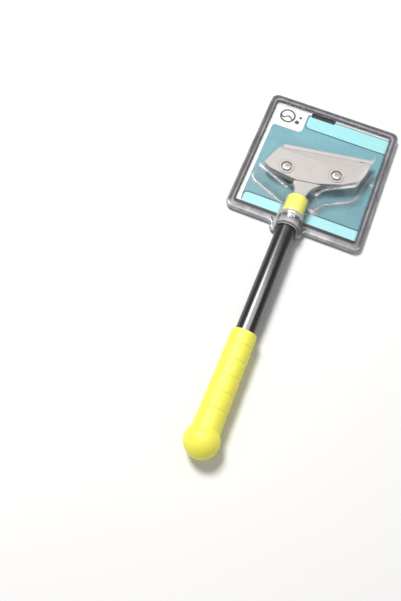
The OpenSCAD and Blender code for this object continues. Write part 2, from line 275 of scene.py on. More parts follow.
def turned(profile, sides, swell=None):
    """Surface of revolution about the handle's axis: each profile point (radius, y) goes round in a ring.
    swell(angle, y, radius) may change the radius round the ring."""
    p = np.asarray(profile, float)
    a = np.linspace(0, 2 * math.pi, sides, endpoint=False)
    r = np.broadcast_to(p[:, :1], (len(p), sides))
    if swell:
        r = swell(a[None, :], p[:, 1:2], r)
    y = np.broadcast_to(p[:, 1:2], r.shape)
    return np.stack([r * np.sin(a), y, AXIS_Z + r * np.cos(a)], -1)


def rings(outline, profile):
    """A flat outline carried up a profile of (inset, z): each ring is the outline drawn in by its inset."""
    n = outward(outline)
    p = np.asarray(profile, float)
    flat = outline[None] - n[None] * p[:, :1, None]
    return np.concatenate([flat, np.broadcast_to(p[:, 1, None, None], flat.shape[:2] + (1,))], -1)


def edge_profile(low, high, bottom, top, draft=0.0, steps=5):
    """(inset, z) points up the side of a slab with rounded lower and upper edges, and draft on the side."""
    a = np.linspace(0, math.pi / 2, steps + 1)
    under = np.stack([draft + bottom * (1 - np.sin(a)), low + bottom * (1 - np.cos(a))], -1)
    over = np.stack([top * (1 - np.cos(a)), high - top * (1 - np.sin(a))], -1)
    margin = 0.12
    return np.concatenate([[[draft + bottom + margin, low]], under, over, [[top + margin, high]]])


def circle(cx, cy, r, sides):
    """Points round a circle, anticlockwise, in the head's axes."""
    a = np.linspace(0, 2 * math.pi, sides, endpoint=False)
    r = np.broadcast_to(r, a.shape)
    return np.stack([cx + r * np.cos(a), cy + r * np.sin(a)], -1)


def round_axis(x, r, a, z):
    """Rings round an upright axis at X in the head's axes: radius r at angle a and height z."""
    return np.stack(np.broadcast_arrays(x + r * np.cos(a), r * np.sin(a), z), -1)


def box_outline(left, right, low, high, radius, steps=10):
    """Outline of a rectangle whose corners have one radius."""
    corners = [(left, low, radius), (right, low, radius), (right, high, radius), (left, high, radius)]
    return rounded_outline(corners, steps)


def lift(flat, z):
    """A flat loop at a height."""
    return np.concatenate([flat, np.broadcast_to(np.reshape(z, (-1, 1)), (len(flat), 1))], -1)


def to_tool(x, y):
    """A flat point in the head's axes, in the tool's axes."""
    return (place_head([[x, y, 0]]) / MM - ORIGIN)[0, :2]


def side_at(y):
    """X of the plate's right side at a distance forwards."""
    return SIDE_RIGHT + (y - 6.5) * RIGHT_LEAN


def head_outline(front, inset, count=420):
    """Outline of the head without its neck: straight sides and rounded corners, in the head's own axes."""
    corners = [
        (SIDE_LEFT + inset, 0.6, 3),
        (SIDE_LEFT + 8 + inset, -5.4 + inset, 8),
        (SIDE_LEFT + 28.5, -11.6 + inset, 3),
        (-14, PLATE_BACK + inset, 2),
        (8, PLATE_BACK + inset, 3),
        (SIDE_RIGHT - 22.8, -9.6 + inset, 12),
        (SIDE_RIGHT - 6.8 - inset, -2.4 + inset, 6),
        (SIDE_RIGHT - inset, 6.5, 8),
        (side_at(front) - inset, front, 0.8),
        (SIDE_LEFT + inset + (front - 0.6) * LEFT_LEAN, front, 2),
    ]
    return even_steps(rounded_outline(corners), count)


# Shader pieces --------------------------------------------------------


def opaque(colour):
    """A colour with full opacity."""
    return (*colour, 1)


class Nodes:
    """Short calls for adding and joining the nodes of one tree."""

    def __init__(self, tree):
        self.tree = tree

    def add(self, kind, inputs=None, **settings):
        node = self.tree.nodes.new(kind)
        for key, value in settings.items():
            setattr(node, key, value)
        for key, value in (inputs or {}).items():
            self.join(value, node.inputs[key])
        return node

    def join(self, value, socket):
        if isinstance(value, bpy.types.NodeSocket):
            self.tree.links.new(value, socket)
        else:
            socket.default_value = value

    def math(self, operation, a, b=0.0, c=0.0, clamp=False):
        node = self.add("ShaderNodeMath", {0: a, 1: b, 2: c}, operation=operation, use_clamp=clamp)
        return node.outputs[0]

    def plus(self, a, b, clamp=False):
        return self.math("ADD", a, b, clamp=clamp)

    def minus(self, a, b, clamp=False):
        return self.math("SUBTRACT", a, b, clamp=clamp)

    def times(self, a, b):
        return self.math("MULTIPLY", a, b)

    def vector(self, operation, a, b=(0, 0, 0), out=0):
        return self.add("ShaderNodeVectorMath", {0: a, 1: b}, operation=operation).outputs[out]

    def noise(self, where, scale, detail=2.0, rough=0.5):
        inputs = {"Vector": where, "Scale": scale, "Detail": detail, "Roughness": rough}
        return self.add("ShaderNodeTexNoise", inputs).outputs["Fac"]

    def ramp(self, value, low, high, to_low=0.0, to_high=1.0):
        keys = {"Value": value, "From Min": low, "From Max": high, "To Min": to_low, "To Max": to_high}
        return self.add("ShaderNodeMapRange", keys, clamp=True).outputs["Result"]

    def mix(self, factor, a, b, blend="MIX"):
        node = self.add("ShaderNodeMix", data_type="RGBA", blend_type=blend)
        self.join(factor, node.inputs[0])
        self.join(a, node.inputs[6])
        self.join(b, node.inputs[7])
        return node.outputs[2]

    def group(self, tree, **inputs):
        node = self.add("ShaderNodeGroup", node_tree=tree)
        for key, value in inputs.items():
            self.join(value, node.inputs[key.replace("_", " ")])
        return node.outputs


def new_group(name, inputs, outputs):
    """An empty shader node group with its sockets: (name, kind, default) for each input, and (name, kind) for
    each output."""
    tree = bpy.data.node_groups.new(name, "ShaderNodeTree")
    kinds = {"value": "NodeSocketFloat", "colour": "NodeSocketColor", "vector": "NodeSocketVector"}
    for label, kind, default in inputs:
        socket = tree.interface.new_socket(label, in_out="INPUT", socket_type=kinds[kind])
        socket.default_value = default
    for label, kind in outputs:
        tree.interface.new_socket(label, in_out="OUTPUT", socket_type=kinds[kind])
    n = Nodes(tree)
    return tree, n, n.add("NodeGroupInput").outputs, n.add("NodeGroupOutput").inputs


def surface_grain():
    """Group: mottled colour, uneven roughness and a fine height, from noise at two sizes in object space."""
    if "surface grain" in bpy.data.node_groups:
        return bpy.data.node_groups["surface grain"]
    inputs = [
        ("Vector", "vector", (0, 0, 0)),
        ("Colour", "colour", (0.5, 0.5, 0.5, 1)),
        ("Grain Size", "value", 0.0004),
        ("Patch Size", "value", 0.012),
        ("Mottle", "value", 0.1),
        ("Roughness", "value", 0.4),
        ("Roughness Spread", "value", 0.1),
    ]
    outputs = [("Colour", "colour"), ("Roughness", "value"), ("Height", "value")]
    tree, n, given, out = new_group("surface grain", inputs, outputs)
    fine = n.noise(given["Vector"], n.math("DIVIDE", 1.0, given["Grain Size"]), 3.0, 0.6)
    patch = n.noise(given["Vector"], n.math("DIVIDE", 1.0, given["Patch Size"]), 3.0, 0.55)
    both = n.plus(n.times(fine, 0.4), n.times(patch, 0.6))
    shift = n.times(n.minus(both, 0.5), given["Mottle"])
    scale = n.plus(1.0, n.times(shift, 2.0))
    tone = n.add("ShaderNodeVectorMath", {0: given["Colour"], "Scale": scale}, operation="SCALE").outputs[0]
    n.join(tone, out["Colour"])
    spread = n.times(n.minus(patch, 0.5), given["Roughness Spread"])
    n.join(n.plus(given["Roughness"], n.times(spread, 2.0), clamp=True), out["Roughness"])
    n.join(fine, out["Height"])
    return tree


def brushed_lines():
    """Group: fine parallel lines from noise stretched along one direction, as a height and a mask."""
    if "brushed lines" in bpy.data.node_groups:
        return bpy.data.node_groups["brushed lines"]
    inputs = [
        ("Vector", "vector", (0, 0, 0)),
        ("Turn", "value", 0.0),
        ("Line Width", "value", 0.0002),
        ("Line Length", "value", 0.02),
    ]
    tree, n, given, out = new_group("brushed lines", inputs, [("Height", "value"), ("Mask", "value")])
    about = {"Vector": given["Vector"], "Angle": given["Turn"]}
    turn = n.add("ShaderNodeVectorRotate", about, rotation_type="Z_AXIS")
    long = n.math("DIVIDE", 1.0, given["Line Length"])
    thin = n.math("DIVIDE", 1.0, given["Line Width"])
    stretch = n.add("ShaderNodeCombineXYZ", {0: long, 1: thin, 2: thin}).outputs[0]
    lines = n.noise(n.vector("MULTIPLY", turn.outputs[0], stretch), 1.0, 3.0, 0.6)
    n.join(lines, out["Height"])
    n.join(n.ramp(lines, 0.35, 0.65), out["Mask"])
    return tree


def printed_box():
    """Group: mask of a rectangle with rounded corners, from the distance to its edge in X and Y."""
    if "printed box" in bpy.data.node_groups:
        return bpy.data.node_groups["printed box"]
    inputs = [
        ("Vector", "vector", (0, 0, 0)),
        ("Centre", "vector", (0, 0, 0)),
        ("Half", "vector", (0.01, 0.01, 0)),
        ("Radius", "value", 0.001),
        ("Softness", "value", 0.0002),
    ]
    tree, n, given, out = new_group("printed box", inputs, [("Mask", "value")])
    flat = n.vector("MULTIPLY", n.vector("SUBTRACT", given["Vector"], given["Centre"]), (1, 1, 0))
    reach = n.vector("SUBTRACT", n.vector("ABSOLUTE", flat), given["Half"])
    ring = n.add("ShaderNodeCombineXYZ", {0: given["Radius"], 1: given["Radius"]}).outputs[0]
    past = n.vector("ADD", reach, ring)
    apart = n.add("ShaderNodeSeparateXYZ", {0: past}).outputs
    inside = n.math("MINIMUM", n.math("MAXIMUM", apart[0], apart[1]), 0.0)
    outside = n.vector("LENGTH", n.vector("MAXIMUM", n.vector("MULTIPLY", past, (1, 1, 0)), (0, 0, 0)), out=1)
    away = n.minus(n.plus(inside, outside), given["Radius"])
    n.join(n.minus(0.5, n.math("DIVIDE", away, given["Softness"]), clamp=True), out["Mask"])
    return tree


def new_material(name):
    """An empty material with its Principled shader, and object coordinates ready to use."""
    material = bpy.data.materials.new(name)
    material.use_nodes = True
    tree = material.node_tree
    n = Nodes(tree)
    shader = next(x for x in tree.nodes if x.type == "BSDF_PRINCIPLED")
    where = n.add("ShaderNodeTexCoord").outputs["Object"]
    return material, n, shader, where


def add_relief(n, shader, height, distance, strength=1.0):
    """Bends a shader's normal by a height map of the given depth in metres."""
    bump = n.add("ShaderNodeBump", {"Height": height, "Distance": distance, "Strength": strength})
    n.join(bump.outputs[0], shader.inputs["Normal"])


def with_grain(name, colour, size, patch, mottle, rough, spread, bump, **sockets):
    """A finish made of the grain group and a bump of its height, with fixed values on the shader itself."""
    material, n, shader, where = new_material(name)
    grain = n.group(surface_grain(), Vector=where, Colour=opaque(colour), Grain_Size=size,
        Patch_Size=patch, Mottle=mottle, Roughness=rough, Roughness_Spread=spread)
    n.join(grain["Colour"], shader.inputs["Base Color"])
    n.join(grain["Roughness"], shader.inputs["Roughness"])
    add_relief(n, shader, grain["Height"], bump)
    for key, value in sockets.items():
        shader.inputs[key.replace("_", " ")].default_value = value
    return material, n, shader, where, grain


def rubber_yellow(colours):
    """Soft moulded rubber: bright yellow, satin, with a fine even grain."""
    return with_grain("soft yellow rubber", colours.grip, 0.00035, 0.03, 0.05, 0.5, 0.06, 0.00002,
        Sheen_Weight=0.05, Sheen_Roughness=0.5, Subsurface_Weight=0.12, Subsurface_Scale=0.004)[0]


def collar_yellow(colours):
    """Harder moulded plastic in the same yellow, a little glossier."""
    return with_grain("moulded yellow plastic", colours.collar, 0.0009, 0.02, 0.05, 0.3, 0.08, 0.000012,
        Coat_Weight=0.15, Coat_Roughness=0.2)[0]


def enamel_black(colours):
    """Gloss black enamel over steel: nearly smooth, with faint orange peel and hairline rubs along it."""
    material, n, shader, where, grain = with_grain("gloss black enamel", colours.tube, 0.0016, 0.03, 0.3,
        0.26, 0.07, 0.00001, Specular_IOR_Level=0.5, Coat_Weight=0.3, Coat_Roughness=0.2)
    lines = n.group(brushed_lines(), Vector=where, Turn=math.pi / 2, Line_Width=0.0003, Line_Length=0.03)
    rubs = n.ramp(lines["Height"], 0.6, 0.75, 0.0, 0.12)
    n.join(n.mix(rubs, grain["Colour"], (0.18, 0.16, 0.17, 1)), shader.inputs["Base Color"])
    n.join(n.plus(grain["Roughness"], rubs), shader.inputs["Roughness"])
    return material


def alloy_cast(colours):
    """Die-cast alloy with a satin blast: pale warm grey, fine pits, and slightly darker patches."""
    return with_grain("satin cast alloy", colours.alloy, 0.00022, 0.009, 0.12, 0.56, 0.08, 0.00003,
        Metallic=0.12, Specular_IOR_Level=0.35)[0]


def steel_plated(colours):
    """Bright zinc plate: smooth, with a faint mottle."""
    return with_grain("bright zinc plate", colours.screw, 0.0006, 0.003, 0.12, 0.48, 0.1, 0.00001,
        Metallic=0.5)[0]


def steel_ground():
    """Ground blade steel: fine lines across the edge."""
    material, n, shader, where, grain = with_grain("ground blade steel", (0.46, 0.44, 0.43), 0.0006, 0.01,
        0.05, 0.5, 0.08, 0.000004, Metallic=0.3)
    lines = n.group(brushed_lines(), Vector=where, Turn=math.pi / 2 - HEAD_TURN, Line_Width=0.00025,
        Line_Length=0.006)
    n.join(n.plus(grain["Roughness"], n.times(lines["Mask"], 0.12)), shader.inputs["Roughness"])
    add_relief(n, shader, lines["Height"], 0.000003)
    return material


def nylon_natural():
    """Natural nylon: milky, slightly see-through, dull."""
    return with_grain("natural nylon", (0.82, 0.8, 0.72), 0.0008, 0.01, 0.05, 0.45, 0.06, 0.00001,
        Subsurface_Weight=0.3, Subsurface_Scale=0.003)[0]


def plastic_black():
    """Plain black moulding with a fine spark texture."""
    return with_grain("black moulding", (0.02, 0.02, 0.02), 0.0003, 0.01, 0.2, 0.5, 0.1, 0.00002)[0]


def board_printed(colours, prints):
    """Printed card: a white board with a teal panel of fine dots and soft streaks, two aqua bars with dark
    outlines, and a plain mark of a ring, a wave and two bubbles. Each printed shape is a rounded box or a
    ring worked out from object X and Y."""
    material, n, shader, where = new_material("printed varnished card")
    x0, y0 = (ORIGIN[0] + PACK_MID) * MM, ORIGIN[1] * MM
    where = n.vector("SUBTRACT", where, (x0, y0, 0))
    xyz = n.add("ShaderNodeSeparateXYZ", {0: where}).outputs

    def box(left, right, low, high, radius):
        centre = ((left + right) / 2 * MM, (low + high) / 2 * MM, 0)
        half = ((right - left) / 2 * MM, (high - low) / 2 * MM, 0)
        return n.group(printed_box(), Vector=where, Centre=centre, Half=half, Radius=radius * MM,
            Softness=0.25 * MM)["Mask"]

    def ink(base, mask, colour):
        return n.mix(mask, base, opaque(colour))

    white, teal, aqua, dark = colours.board, colours.teal, colours.aqua, colours.ink

    # Teal panel: fine grid of dots, paler towards its top, and broad soft streaks
    across, along = (n.math("SINE", n.times(xyz[k], 2 * math.pi / prints.dot_pitch)) for k in (0, 1))
    dots = n.plus(across, along)
    streak = n.noise(n.vector("MULTIPLY", where, (14, 30, 1)), 1.0, 3.0, 0.55)
    paler = n.ramp(xyz[1], 0.03, 0.14, -0.1, 0.25)
    tone = n.plus(n.times(n.minus(streak, 0.5), 0.8), paler)
    tone = n.plus(tone, n.times(dots, 0.14))
    deep, bright = opaque(c * 0.72 for c in teal), opaque(min(1, c * 1.45) for c in teal)
    panel = n.mix(n.ramp(tone, -0.3, 0.6), deep, bright)
    panel_mask = box(-63.6, 71, 20, 152, 1)
    tab = n.math("MAXIMUM", box(-90, -29.2, 121.5, 175, 5.5), box(-90, -62, 116, 175, 0.4))
    notch = box(-63.6, -20, 60, 121.5, 4)
    corner = n.times(tab, n.minus(1.0, notch))
    panel_mask = n.times(panel_mask, n.minus(1.0, corner))
    colour = n.mix(panel_mask, opaque(white), panel)
    colour = ink(colour, box(-90, 90, 149.0, 170, 0.1), white)

    # Top bar, its outline, and the thick dark stroke on its left end
    colour = ink(colour, box(-28.8, 90, 129.2, 149.9, 6.5), dark)
    colour = ink(colour, box(-27.6, 90, 130.7, 149.0, 5.4), aqua)
    colour = ink(colour, box(-25.5, 3.2, 146.6, 153.0, 1.8), (0.008, 0.01, 0.012))

    # Bottom bar with a dark line over it, and the dark band under it
    colour = ink(colour, box(-62.9, 90, 11.5, 27.0, 5.2), dark)
    colour = ink(colour, box(-61.4, 90, 8, 25.0, 3.9), aqua)
    colour = ink(colour, box(-90, 90, -5, 12.8, 0.1), (0.02, 0.016, 0.017))
    colour = ink(colour, box(69.4, 90, -5, 152, 0.1), teal)

    # The mark: a ring, a wave through it and two bubbles beside it
    def disc(cx, cy, radius):
        flat = n.vector("MULTIPLY", n.vector("SUBTRACT", where, (cx * MM, cy * MM, 0)), (1, 1, 0))
        away = n.minus(n.vector("LENGTH", flat, out=1), radius * MM)
        return n.minus(0.5, n.math("DIVIDE", away, 0.00025), clamp=True)

    ring = n.minus(disc(-51, 138, 9.2), disc(-51, 138, 7.2), clamp=True)
    crest = n.times(n.math("SINE", n.times(xyz[0], 2 * math.pi / 0.0105)), 0.0016)
    wave_away = n.math("ABSOLUTE", n.minus(n.minus(xyz[1], 0.1365), crest))
    wave = n.times(n.ramp(wave_away, 0.0009, 0.0012, 1.0, 0.0), disc(-51, 138, 8))
    bubbles = n.math("MAXIMUM", disc(-38.4, 133.2, 2.6), disc(-36.2, 140.6, 1.7))
    mark = n.math("MAXIMUM", n.math("MAXIMUM", ring, wave), bubbles)
    colour = ink(colour, mark, (0.06, 0.055, 0.055))

    fibre = n.noise(where, 900.0, 3.0, 0.6)
    grey = n.add("ShaderNodeCombineColor", {0: fibre, 1: fibre, 2: fibre}).outputs[0]
    colour = n.mix(0.06, colour, grey, "OVERLAY")
    n.join(colour, shader.inputs["Base Color"])
    n.join(n.ramp(fibre, 0.3, 0.7, 0.32, 0.44), shader.inputs["Roughness"])
    add_relief(n, shader, fibre, 0.000012)
    shader.inputs["Coat Weight"].default_value = 0.25
    shader.inputs["Coat Roughness"].default_value = 0.25
    return material


def sheet_clear(name, colours, flat_alpha, bend_alpha):
    """Clear thermoformed sheet: nearly unseen where it is flat, and glossy with a slight ripple. Where it
    bends it shows a dark painted shade that turns to a pale painted highlight. The piece's own 'bend' value
    says how much of it shows, and 'light' how much of that is painted highlight."""
    material, n, shader, where = new_material(name)
    bend = n.add("ShaderNodeAttribute", attribute_name="bend").outputs["Fac"]
    light = n.add("ShaderNodeAttribute", attribute_name="light").outputs["Fac"]
    ripple = n.noise(where, 55.0, 2.0, 0.5)
    facing = n.add("ShaderNodeLayerWeight", {"Blend": 0.3}).outputs["Facing"]
    uneven = n.ramp(ripple, 0.35, 0.65, 0.6, 1.0)
    alpha = n.plus(n.times(n.times(bend, uneven), bend_alpha), flat_alpha)
    edge_on = n.times(n.math("POWER", facing, 3.0), n.math("MULTIPLY_ADD", bend, 0.5, 0.015))
    alpha = n.plus(alpha, edge_on, clamp=True)
    n.join(alpha, shader.inputs["Alpha"])
    # Painted highlight: the pale sheet colour where 'light' is high, over the dark sheet colour, which is
    # painted shade
    painted_highlight_share = n.times(light, n.ramp(ripple, 0.3, 0.6, 0.55, 1.0))
    n.join(n.mix(painted_highlight_share, opaque(colours.sheet), opaque(colours.sheet_painted_highlight)), shader.inputs["Base Color"])
    n.join(n.ramp(ripple, 0.3, 0.7, 0.06, 0.14), shader.inputs["Roughness"])
    add_relief(n, shader, ripple, 0.0005, 0.5)
    shader.inputs["IOR"].default_value = 1.57
    shader.inputs["Coat Weight"].default_value = 1.0
    shader.inputs["Coat Roughness"].default_value = 0.06
    return material


# Sizes and colours ----------------------------------------------------


def length(name, text, value):
    return FloatProperty(name=name, description=text, default=value, min=0.0, unit="LENGTH",
        subtype="DISTANCE", precision=5)


def paint(name, text, value):
    return FloatVectorProperty(name=name, description=text, default=value, size=3, min=0.0, max=1.0,
        subtype="COLOR")


def watts(name, text, value):
    return FloatProperty(name=name, description=text, default=value, min=0.0, unit="POWER")


class ScraperSizes(bpy.types.PropertyGroup):
    """Sizes of the tool that its looks add to the CAD frame."""

    groove_depth: length("Groove depth", "Depth of a groove round the grip", 0.00038)
    groove_width: length("Groove width", "Width of a groove round the grip", 0.0022)
    grip_crown: length("Grip crown", "How far the grip swells between two grooves", 0.0002)
    cast_edge: length("Cast edge", "Rounding of the upper edges of the cast plate", 0.0008)
    cast_draft: length("Cast draft", "Draft on the sides of the castings", 0.0002)


class PackSizes(bpy.types.PropertyGroup):
    """Sizes of the clear pack and of the print on its card."""

    draft: length("Bubble draft", "How far the bubble's walls lean in from bottom to top", 0.003)
    roof_round: length("Roof rounding", "Rounding between the bubble's walls and its roof", 0.0026)
    base_round: length("Base rounding", "Rounding where the bubble leaves the flat face", 0.0016)
    sheet: length("Sheet", "Thickness of the clear sheet", 0.0005)
    dot_pitch: length("Dot pitch", "Distance between the dots printed on the card", 0.0027)


class ScraperColours(bpy.types.PropertyGroup):
    """Colours of the finishes."""

    grip: paint("Grip", "Soft rubber of the grip", (0.95, 0.9, 0.09))
    collar: paint("Collar", "Plastic of the collar", (0.95, 0.94, 0.16))
    tube: paint("Tube", "Enamel of the tube", (0.008, 0.007, 0.009))
    alloy: paint("Alloy", "Cast alloy of the head", (0.475, 0.448, 0.435))
    screw: paint("Screws", "Zinc plate of the screws and washers", (0.44, 0.42, 0.405))
    board: paint("Board", "White of the card", (0.9, 0.9, 0.9))
    teal: paint("Teal", "Panel of the card", (0.15, 0.36, 0.42))
    aqua: paint("Aqua", "Bars of the card", (0.36, 0.76, 0.8))
    ink: paint("Ink", "Outlines of the bars", (0.035, 0.12, 0.13))
    # Painted shade: the dark colour the clear sheet shows at its bends
    sheet: paint("Sheet", "Clear sheet where its bends are dark", (0.12, 0.11, 0.135))
    # Painted highlight: the pale colour the clear sheet shows where its bends catch the light
    sheet_painted_highlight: paint("Sheet light", "Clear sheet where its bends catch the light", (0.85, 0.85, 0.88))


class StageSettings(bpy.types.PropertyGroup):
    """Floor and light."""

    floor: paint("Floor", "Colour of the floor", (0.9, 0.9, 0.9))
    key: watts("Key light", "Power of the soft light from the upper left", 38.0)
    gloss: watts("Gloss light", "Power of the wide light that only gloss shows", 14.5)
    sky: FloatProperty(name="Sky", description="Brightness of the light all round", default=0.36, min=0.0)


def settings():
    scene = bpy.context.scene
    return scene.scraper_sizes, scene.pack_sizes, scene.scraper_colours, scene.stage_settings


def finish_piece(thing, body, slot, material, *nodes):
    """Gives a piece its material and its body, and hides the CAD nodes that it stands for. The slot is not
    used.
    """
    thing.data.materials.clear()
    thing.data.materials.append(material)
    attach(thing, body)
    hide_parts(*nodes)


# Operators ------------------------------------------------------------


class MakeTube(bpy.types.Operator):
    """Makes the enamelled tube."""

    bl_idname = "scraper.make_tube"
    bl_label = "Tube"

    def execute(self, context):
        _, _, colours, _ = settings()
        low, high = TUBE_LOW[1] - ORIGIN[1], TUBE_HIGH[1] - ORIGIN[1]
        bore, chamfer = TUBE_R - 1.2, 0.25
        outer = [(TUBE_R - chamfer, low), (TUBE_R, low + chamfer)]
        outer += [(TUBE_R, y) for y in np.linspace(low + 1, high - 1, 24)]
        outer += [(TUBE_R, high - chamfer), (TUBE_R - chamfer, high)]
        inner = [(bore + chamfer, high), (bore, high - chamfer), (bore, low + chamfer), (bore + chamfer, low)]
        made = Surface()
        made.grid(place(turned(outer + inner, 128)), closed_rows=True, closed_columns=True)
        finish_piece(made.make("tube_enamelled"), "tool", "black_paint", enamel_black(colours), "handle_tube")
        return {"FINISHED"}


class MakeGrip(bpy.types.Operator):
    """Makes the rubber grip with its ball end."""

    bl_idname = "scraper.make_grip"
    bl_label = "Grip"

    def execute(self, context):
        sizes, _, colours, _ = settings()
        low, high = node_box("grip_sleeve")
        ball_r = (high[2] - low[2]) / 2
        ball_y, front = low[1] - ORIGIN[1] + ball_r, high[1] - ORIGIN[1]
        wall_top, wall_low, tip_round = 2.9, 3.9, 1.8
        grooves = front - 15.2 - 16.4 * np.arange(5)
        depth, width, crown = sizes.groove_depth / MM, sizes.groove_width / MM, sizes.grip_crown / MM

        def body_r(y):
            """Straight taper, swelled between the grooves and cut by a narrow round groove at each."""
            straight = TUBE_R + wall_low + (wall_top - wall_low) * (y - ball_y) / (front - ball_y)
            near = np.abs(y[:, None] - grooves).min(1)
            cut = depth * np.exp(-((near / (width / 2)) ** 2) * 1.6)
            ends = smooth_step(ball_y + ball_r, ball_y + ball_r + 6, y) * smooth_step(front, front - 6, y)
            return straight - cut - crown * ends * (1 - np.sin(np.clip(near / 8.2, 0, 1) * math.pi / 2))

        a = np.linspace(0, math.radians(127), 60)
        ball = np.stack([ball_r * np.sin(a), ball_y - ball_r * np.cos(a)], -1)
        start = ball[-1, 1] + 0.8
        y = np.linspace(start, front - tip_round, 210)
        side = np.stack([body_r(y), y], -1)
        b = np.linspace(0, math.pi / 2, 9)[1:]
        tip_r = side[-1, 0] - tip_round
        tip = np.stack([tip_r + tip_round * np.cos(b), front - tip_round + tip_round * np.sin(b)], -1)
        outside = np.concatenate([ball, side])
        # The ball runs into the side in a soft hollow
        near = np.abs(outside[:, 1] - ball[-1, 1]) < 5
        eased = outside.copy()
        for _ in range(12):
            mean = (eased[:-2] + 2 * eased[1:-1] + eased[2:]) / 4
            eased[1:-1] = np.where(near[1:-1, None], mean, eased[1:-1])
        bore_end = ball_y + 13.3
        inside = np.array([(TUBE_SEAT_R, front), (TUBE_SEAT_R, bore_end), (0, bore_end)])

        def swell(angle, y, r):
            """Soft flat pads on the upper and lower faces between the grooves, where fingers press."""
            gap = np.abs(y - grooves[None, :]).min(1, keepdims=True)
            held = (y < front - 8) & (y > ball_y + ball_r) & (r > TUBE_R + 2)
            return r - 0.22 * held * np.exp(-(((gap - 8.2) / 4.2) ** 2)) * np.cos(angle) ** 8

        made = Surface()
        profile = np.concatenate([eased, tip, inside])
        made.grid(place(turned(profile, 144, swell)), closed_columns=True)
        finish_piece(made.make("grip_rubber"), "tool", "yellow_grip", rubber_yellow(colours), "grip_sleeve")
        return {"FINISHED"}


class MakeCollar(bpy.types.Operator):
    """Makes the plastic collar between tube and head."""

    bl_idname = "scraper.make_collar"
    bl_label = "Collar"

    def execute(self, context):
        _, _, colours, _ = settings()
        low, high, hole_r = COLLAR_Y, COLLAR_FRONT, SHANK_R + 0.04
        front = rounded_path([(COLLAR_R, low + 4, 0), (COLLAR_R - 0.12, high, 2.0), (hole_r, high, 0)], 9, 6)
        lead = [(TUBE_SEAT_R, low), (COLLAR_R - 0.9, low), (COLLAR_R - 0.35, low + 0.25),
            (COLLAR_R - 0.02, low + 0.9)]
        step = high - 1.78
        back = [(hole_r, step), (TUBE_SEAT_R, step)]
        made = Surface()
        profile = np.concatenate([lead, front, back])
        made.grid(place(turned(profile, 128)), closed_rows=True, closed_columns=True)
        collar = made.make("collar_plastic")
        finish_piece(collar, "tool", "yellow_collar", collar_yellow(colours), "neck_collar")
        return {"FINISHED"}


class MakeHead(bpy.types.Operator):
    """Makes the cast head: a base plate under the blade, and the neck with its shank."""

    bl_idname = "scraper.make_head"
    bl_label = "Cast head"

    def execute(self, context):
        _, _, colours, _ = settings()
        made = Surface()
        ledge_z, back_z = CAST_Z + 4.4, CAST_Z + 5.25
        sides, nut_seat_r, seat_deep = 48, 4.05, 2.75
        hexagon = np.linspace(0, 2 * math.pi, sides, endpoint=False) % (math.pi / 3) - math.pi / 6
        # The base under the blade has the nut seats, and the ledge behind the blade lies on it
        levels = (
            (CAST_Z, ledge_z, 24.5, 1.2, 0.3, True),
            (ledge_z - 0.1, back_z, 13.3, 0.05, 0.2, False),
        )
        for low, high, front, low_round, high_round, seats in levels:
            walls = rings(head_outline(front, 0.4), edge_profile(low, high, low_round, high_round, 0.15))
            made.grid(place_head(walls), closed_columns=True)
            under, over = [walls[0]], [walls[-1]]
            for side in (-1, 1):
                x = side * SCREW_X
                hole = circle(x, 0, SCREW_HOLE_R, sides)
                stack = [lift(hole, high), lift(hole, low)]
                if seats:
                    seat = circle(x, 0, nut_seat_r / np.cos(hexagon), sides)
                    stack[1:] = lift(hole, low + seat_deep), lift(seat, low + seat_deep), lift(seat, low)
                stack = np.array(stack)
                made.grid(place_head(stack), closed_columns=True)
                over.append(stack[0])
                under.append(stack[-1])
            made.cap(*[place_head(loop) for loop in under])
            made.cap(*[place_head(loop) for loop in over])
        # Neck: sections between a left and a right edge, each a flattened circle of growing squareness. The
        # last section lies along the plate's back edge, 0.3 mm behind it.
        def back(x):
            """The point behind the plate's back edge at a place along it."""
            return to_tool(x, PLATE_BACK - 0.3)

        left = along_curve([(-6.4, 28.5), (-6.5, 31), (-6.7, 34), (-7.1, 37.5), (-8.3, 41.2), (-11, 44.9),
            back(-16.8)], 72)
        right = along_curve([(6.4, 28.5), (6.5, 31.2), (6.8, 34.6), (7.5, 38.6), (9.4, 43), (12.2, 47.4),
            back(13.4)], 72)
        t = np.linspace(0, 1, 72)
        square = 2.0 + 6.5 * smooth_step(0.03, 0.42, t)
        high = SHANK_R + (3.95 - SHANK_R) * smooth_step(0.02, 0.4, t)
        mid_z = AXIS_Z + (16.95 - AXIS_Z) * smooth_step(0.02, 0.4, t)
        a = np.linspace(0, 2 * math.pi, 88, endpoint=False)
        wide = np.sign(np.cos(a)) * np.abs(np.cos(a)) ** (2 / square[:, None])
        tall = np.sign(np.sin(a)) * np.abs(np.sin(a)) ** (2 / square[:, None])
        middle, reach = (left + right) / 2, (right - left) / 2
        neck = np.concatenate([middle[:, None] + reach[:, None] * wide[..., None],
            (mid_z[:, None] + high[:, None] * tall)[..., None]], -1)
        shank_y = node_box("head_casting")[0][1] - ORIGIN[1]
        tip_r = np.array([SHANK_R - 0.48, SHANK_R])[:, None]
        tip_y = np.broadcast_to([[shank_y], [shank_y + 0.5]], (2, len(a)))
        tip = np.stack([tip_r * np.cos(a), tip_y, AXIS_Z + tip_r * np.sin(a)], -1)
        made.capped(place(np.concatenate([tip, neck])))
        # Foot of the neck, which runs on under the plate
        foot = even_steps(rounded_outline([(*back(-16.4), 0.3), (*back(13.0), 0.3), (*(back(19) + (0, 6)), 2),
            (*(back(-22) + (0, 3)), 2)]), 160)
        walls = rings(foot, edge_profile(CAST_Z + 0.4, PLATE_Z - 1.0, 0.4, 0.3))
        made.capped(place(walls))
        finish_piece(made.make("head_cast"), "tool", "cast_alloy", alloy_cast(colours), "head_casting")
        return {"FINISHED"}


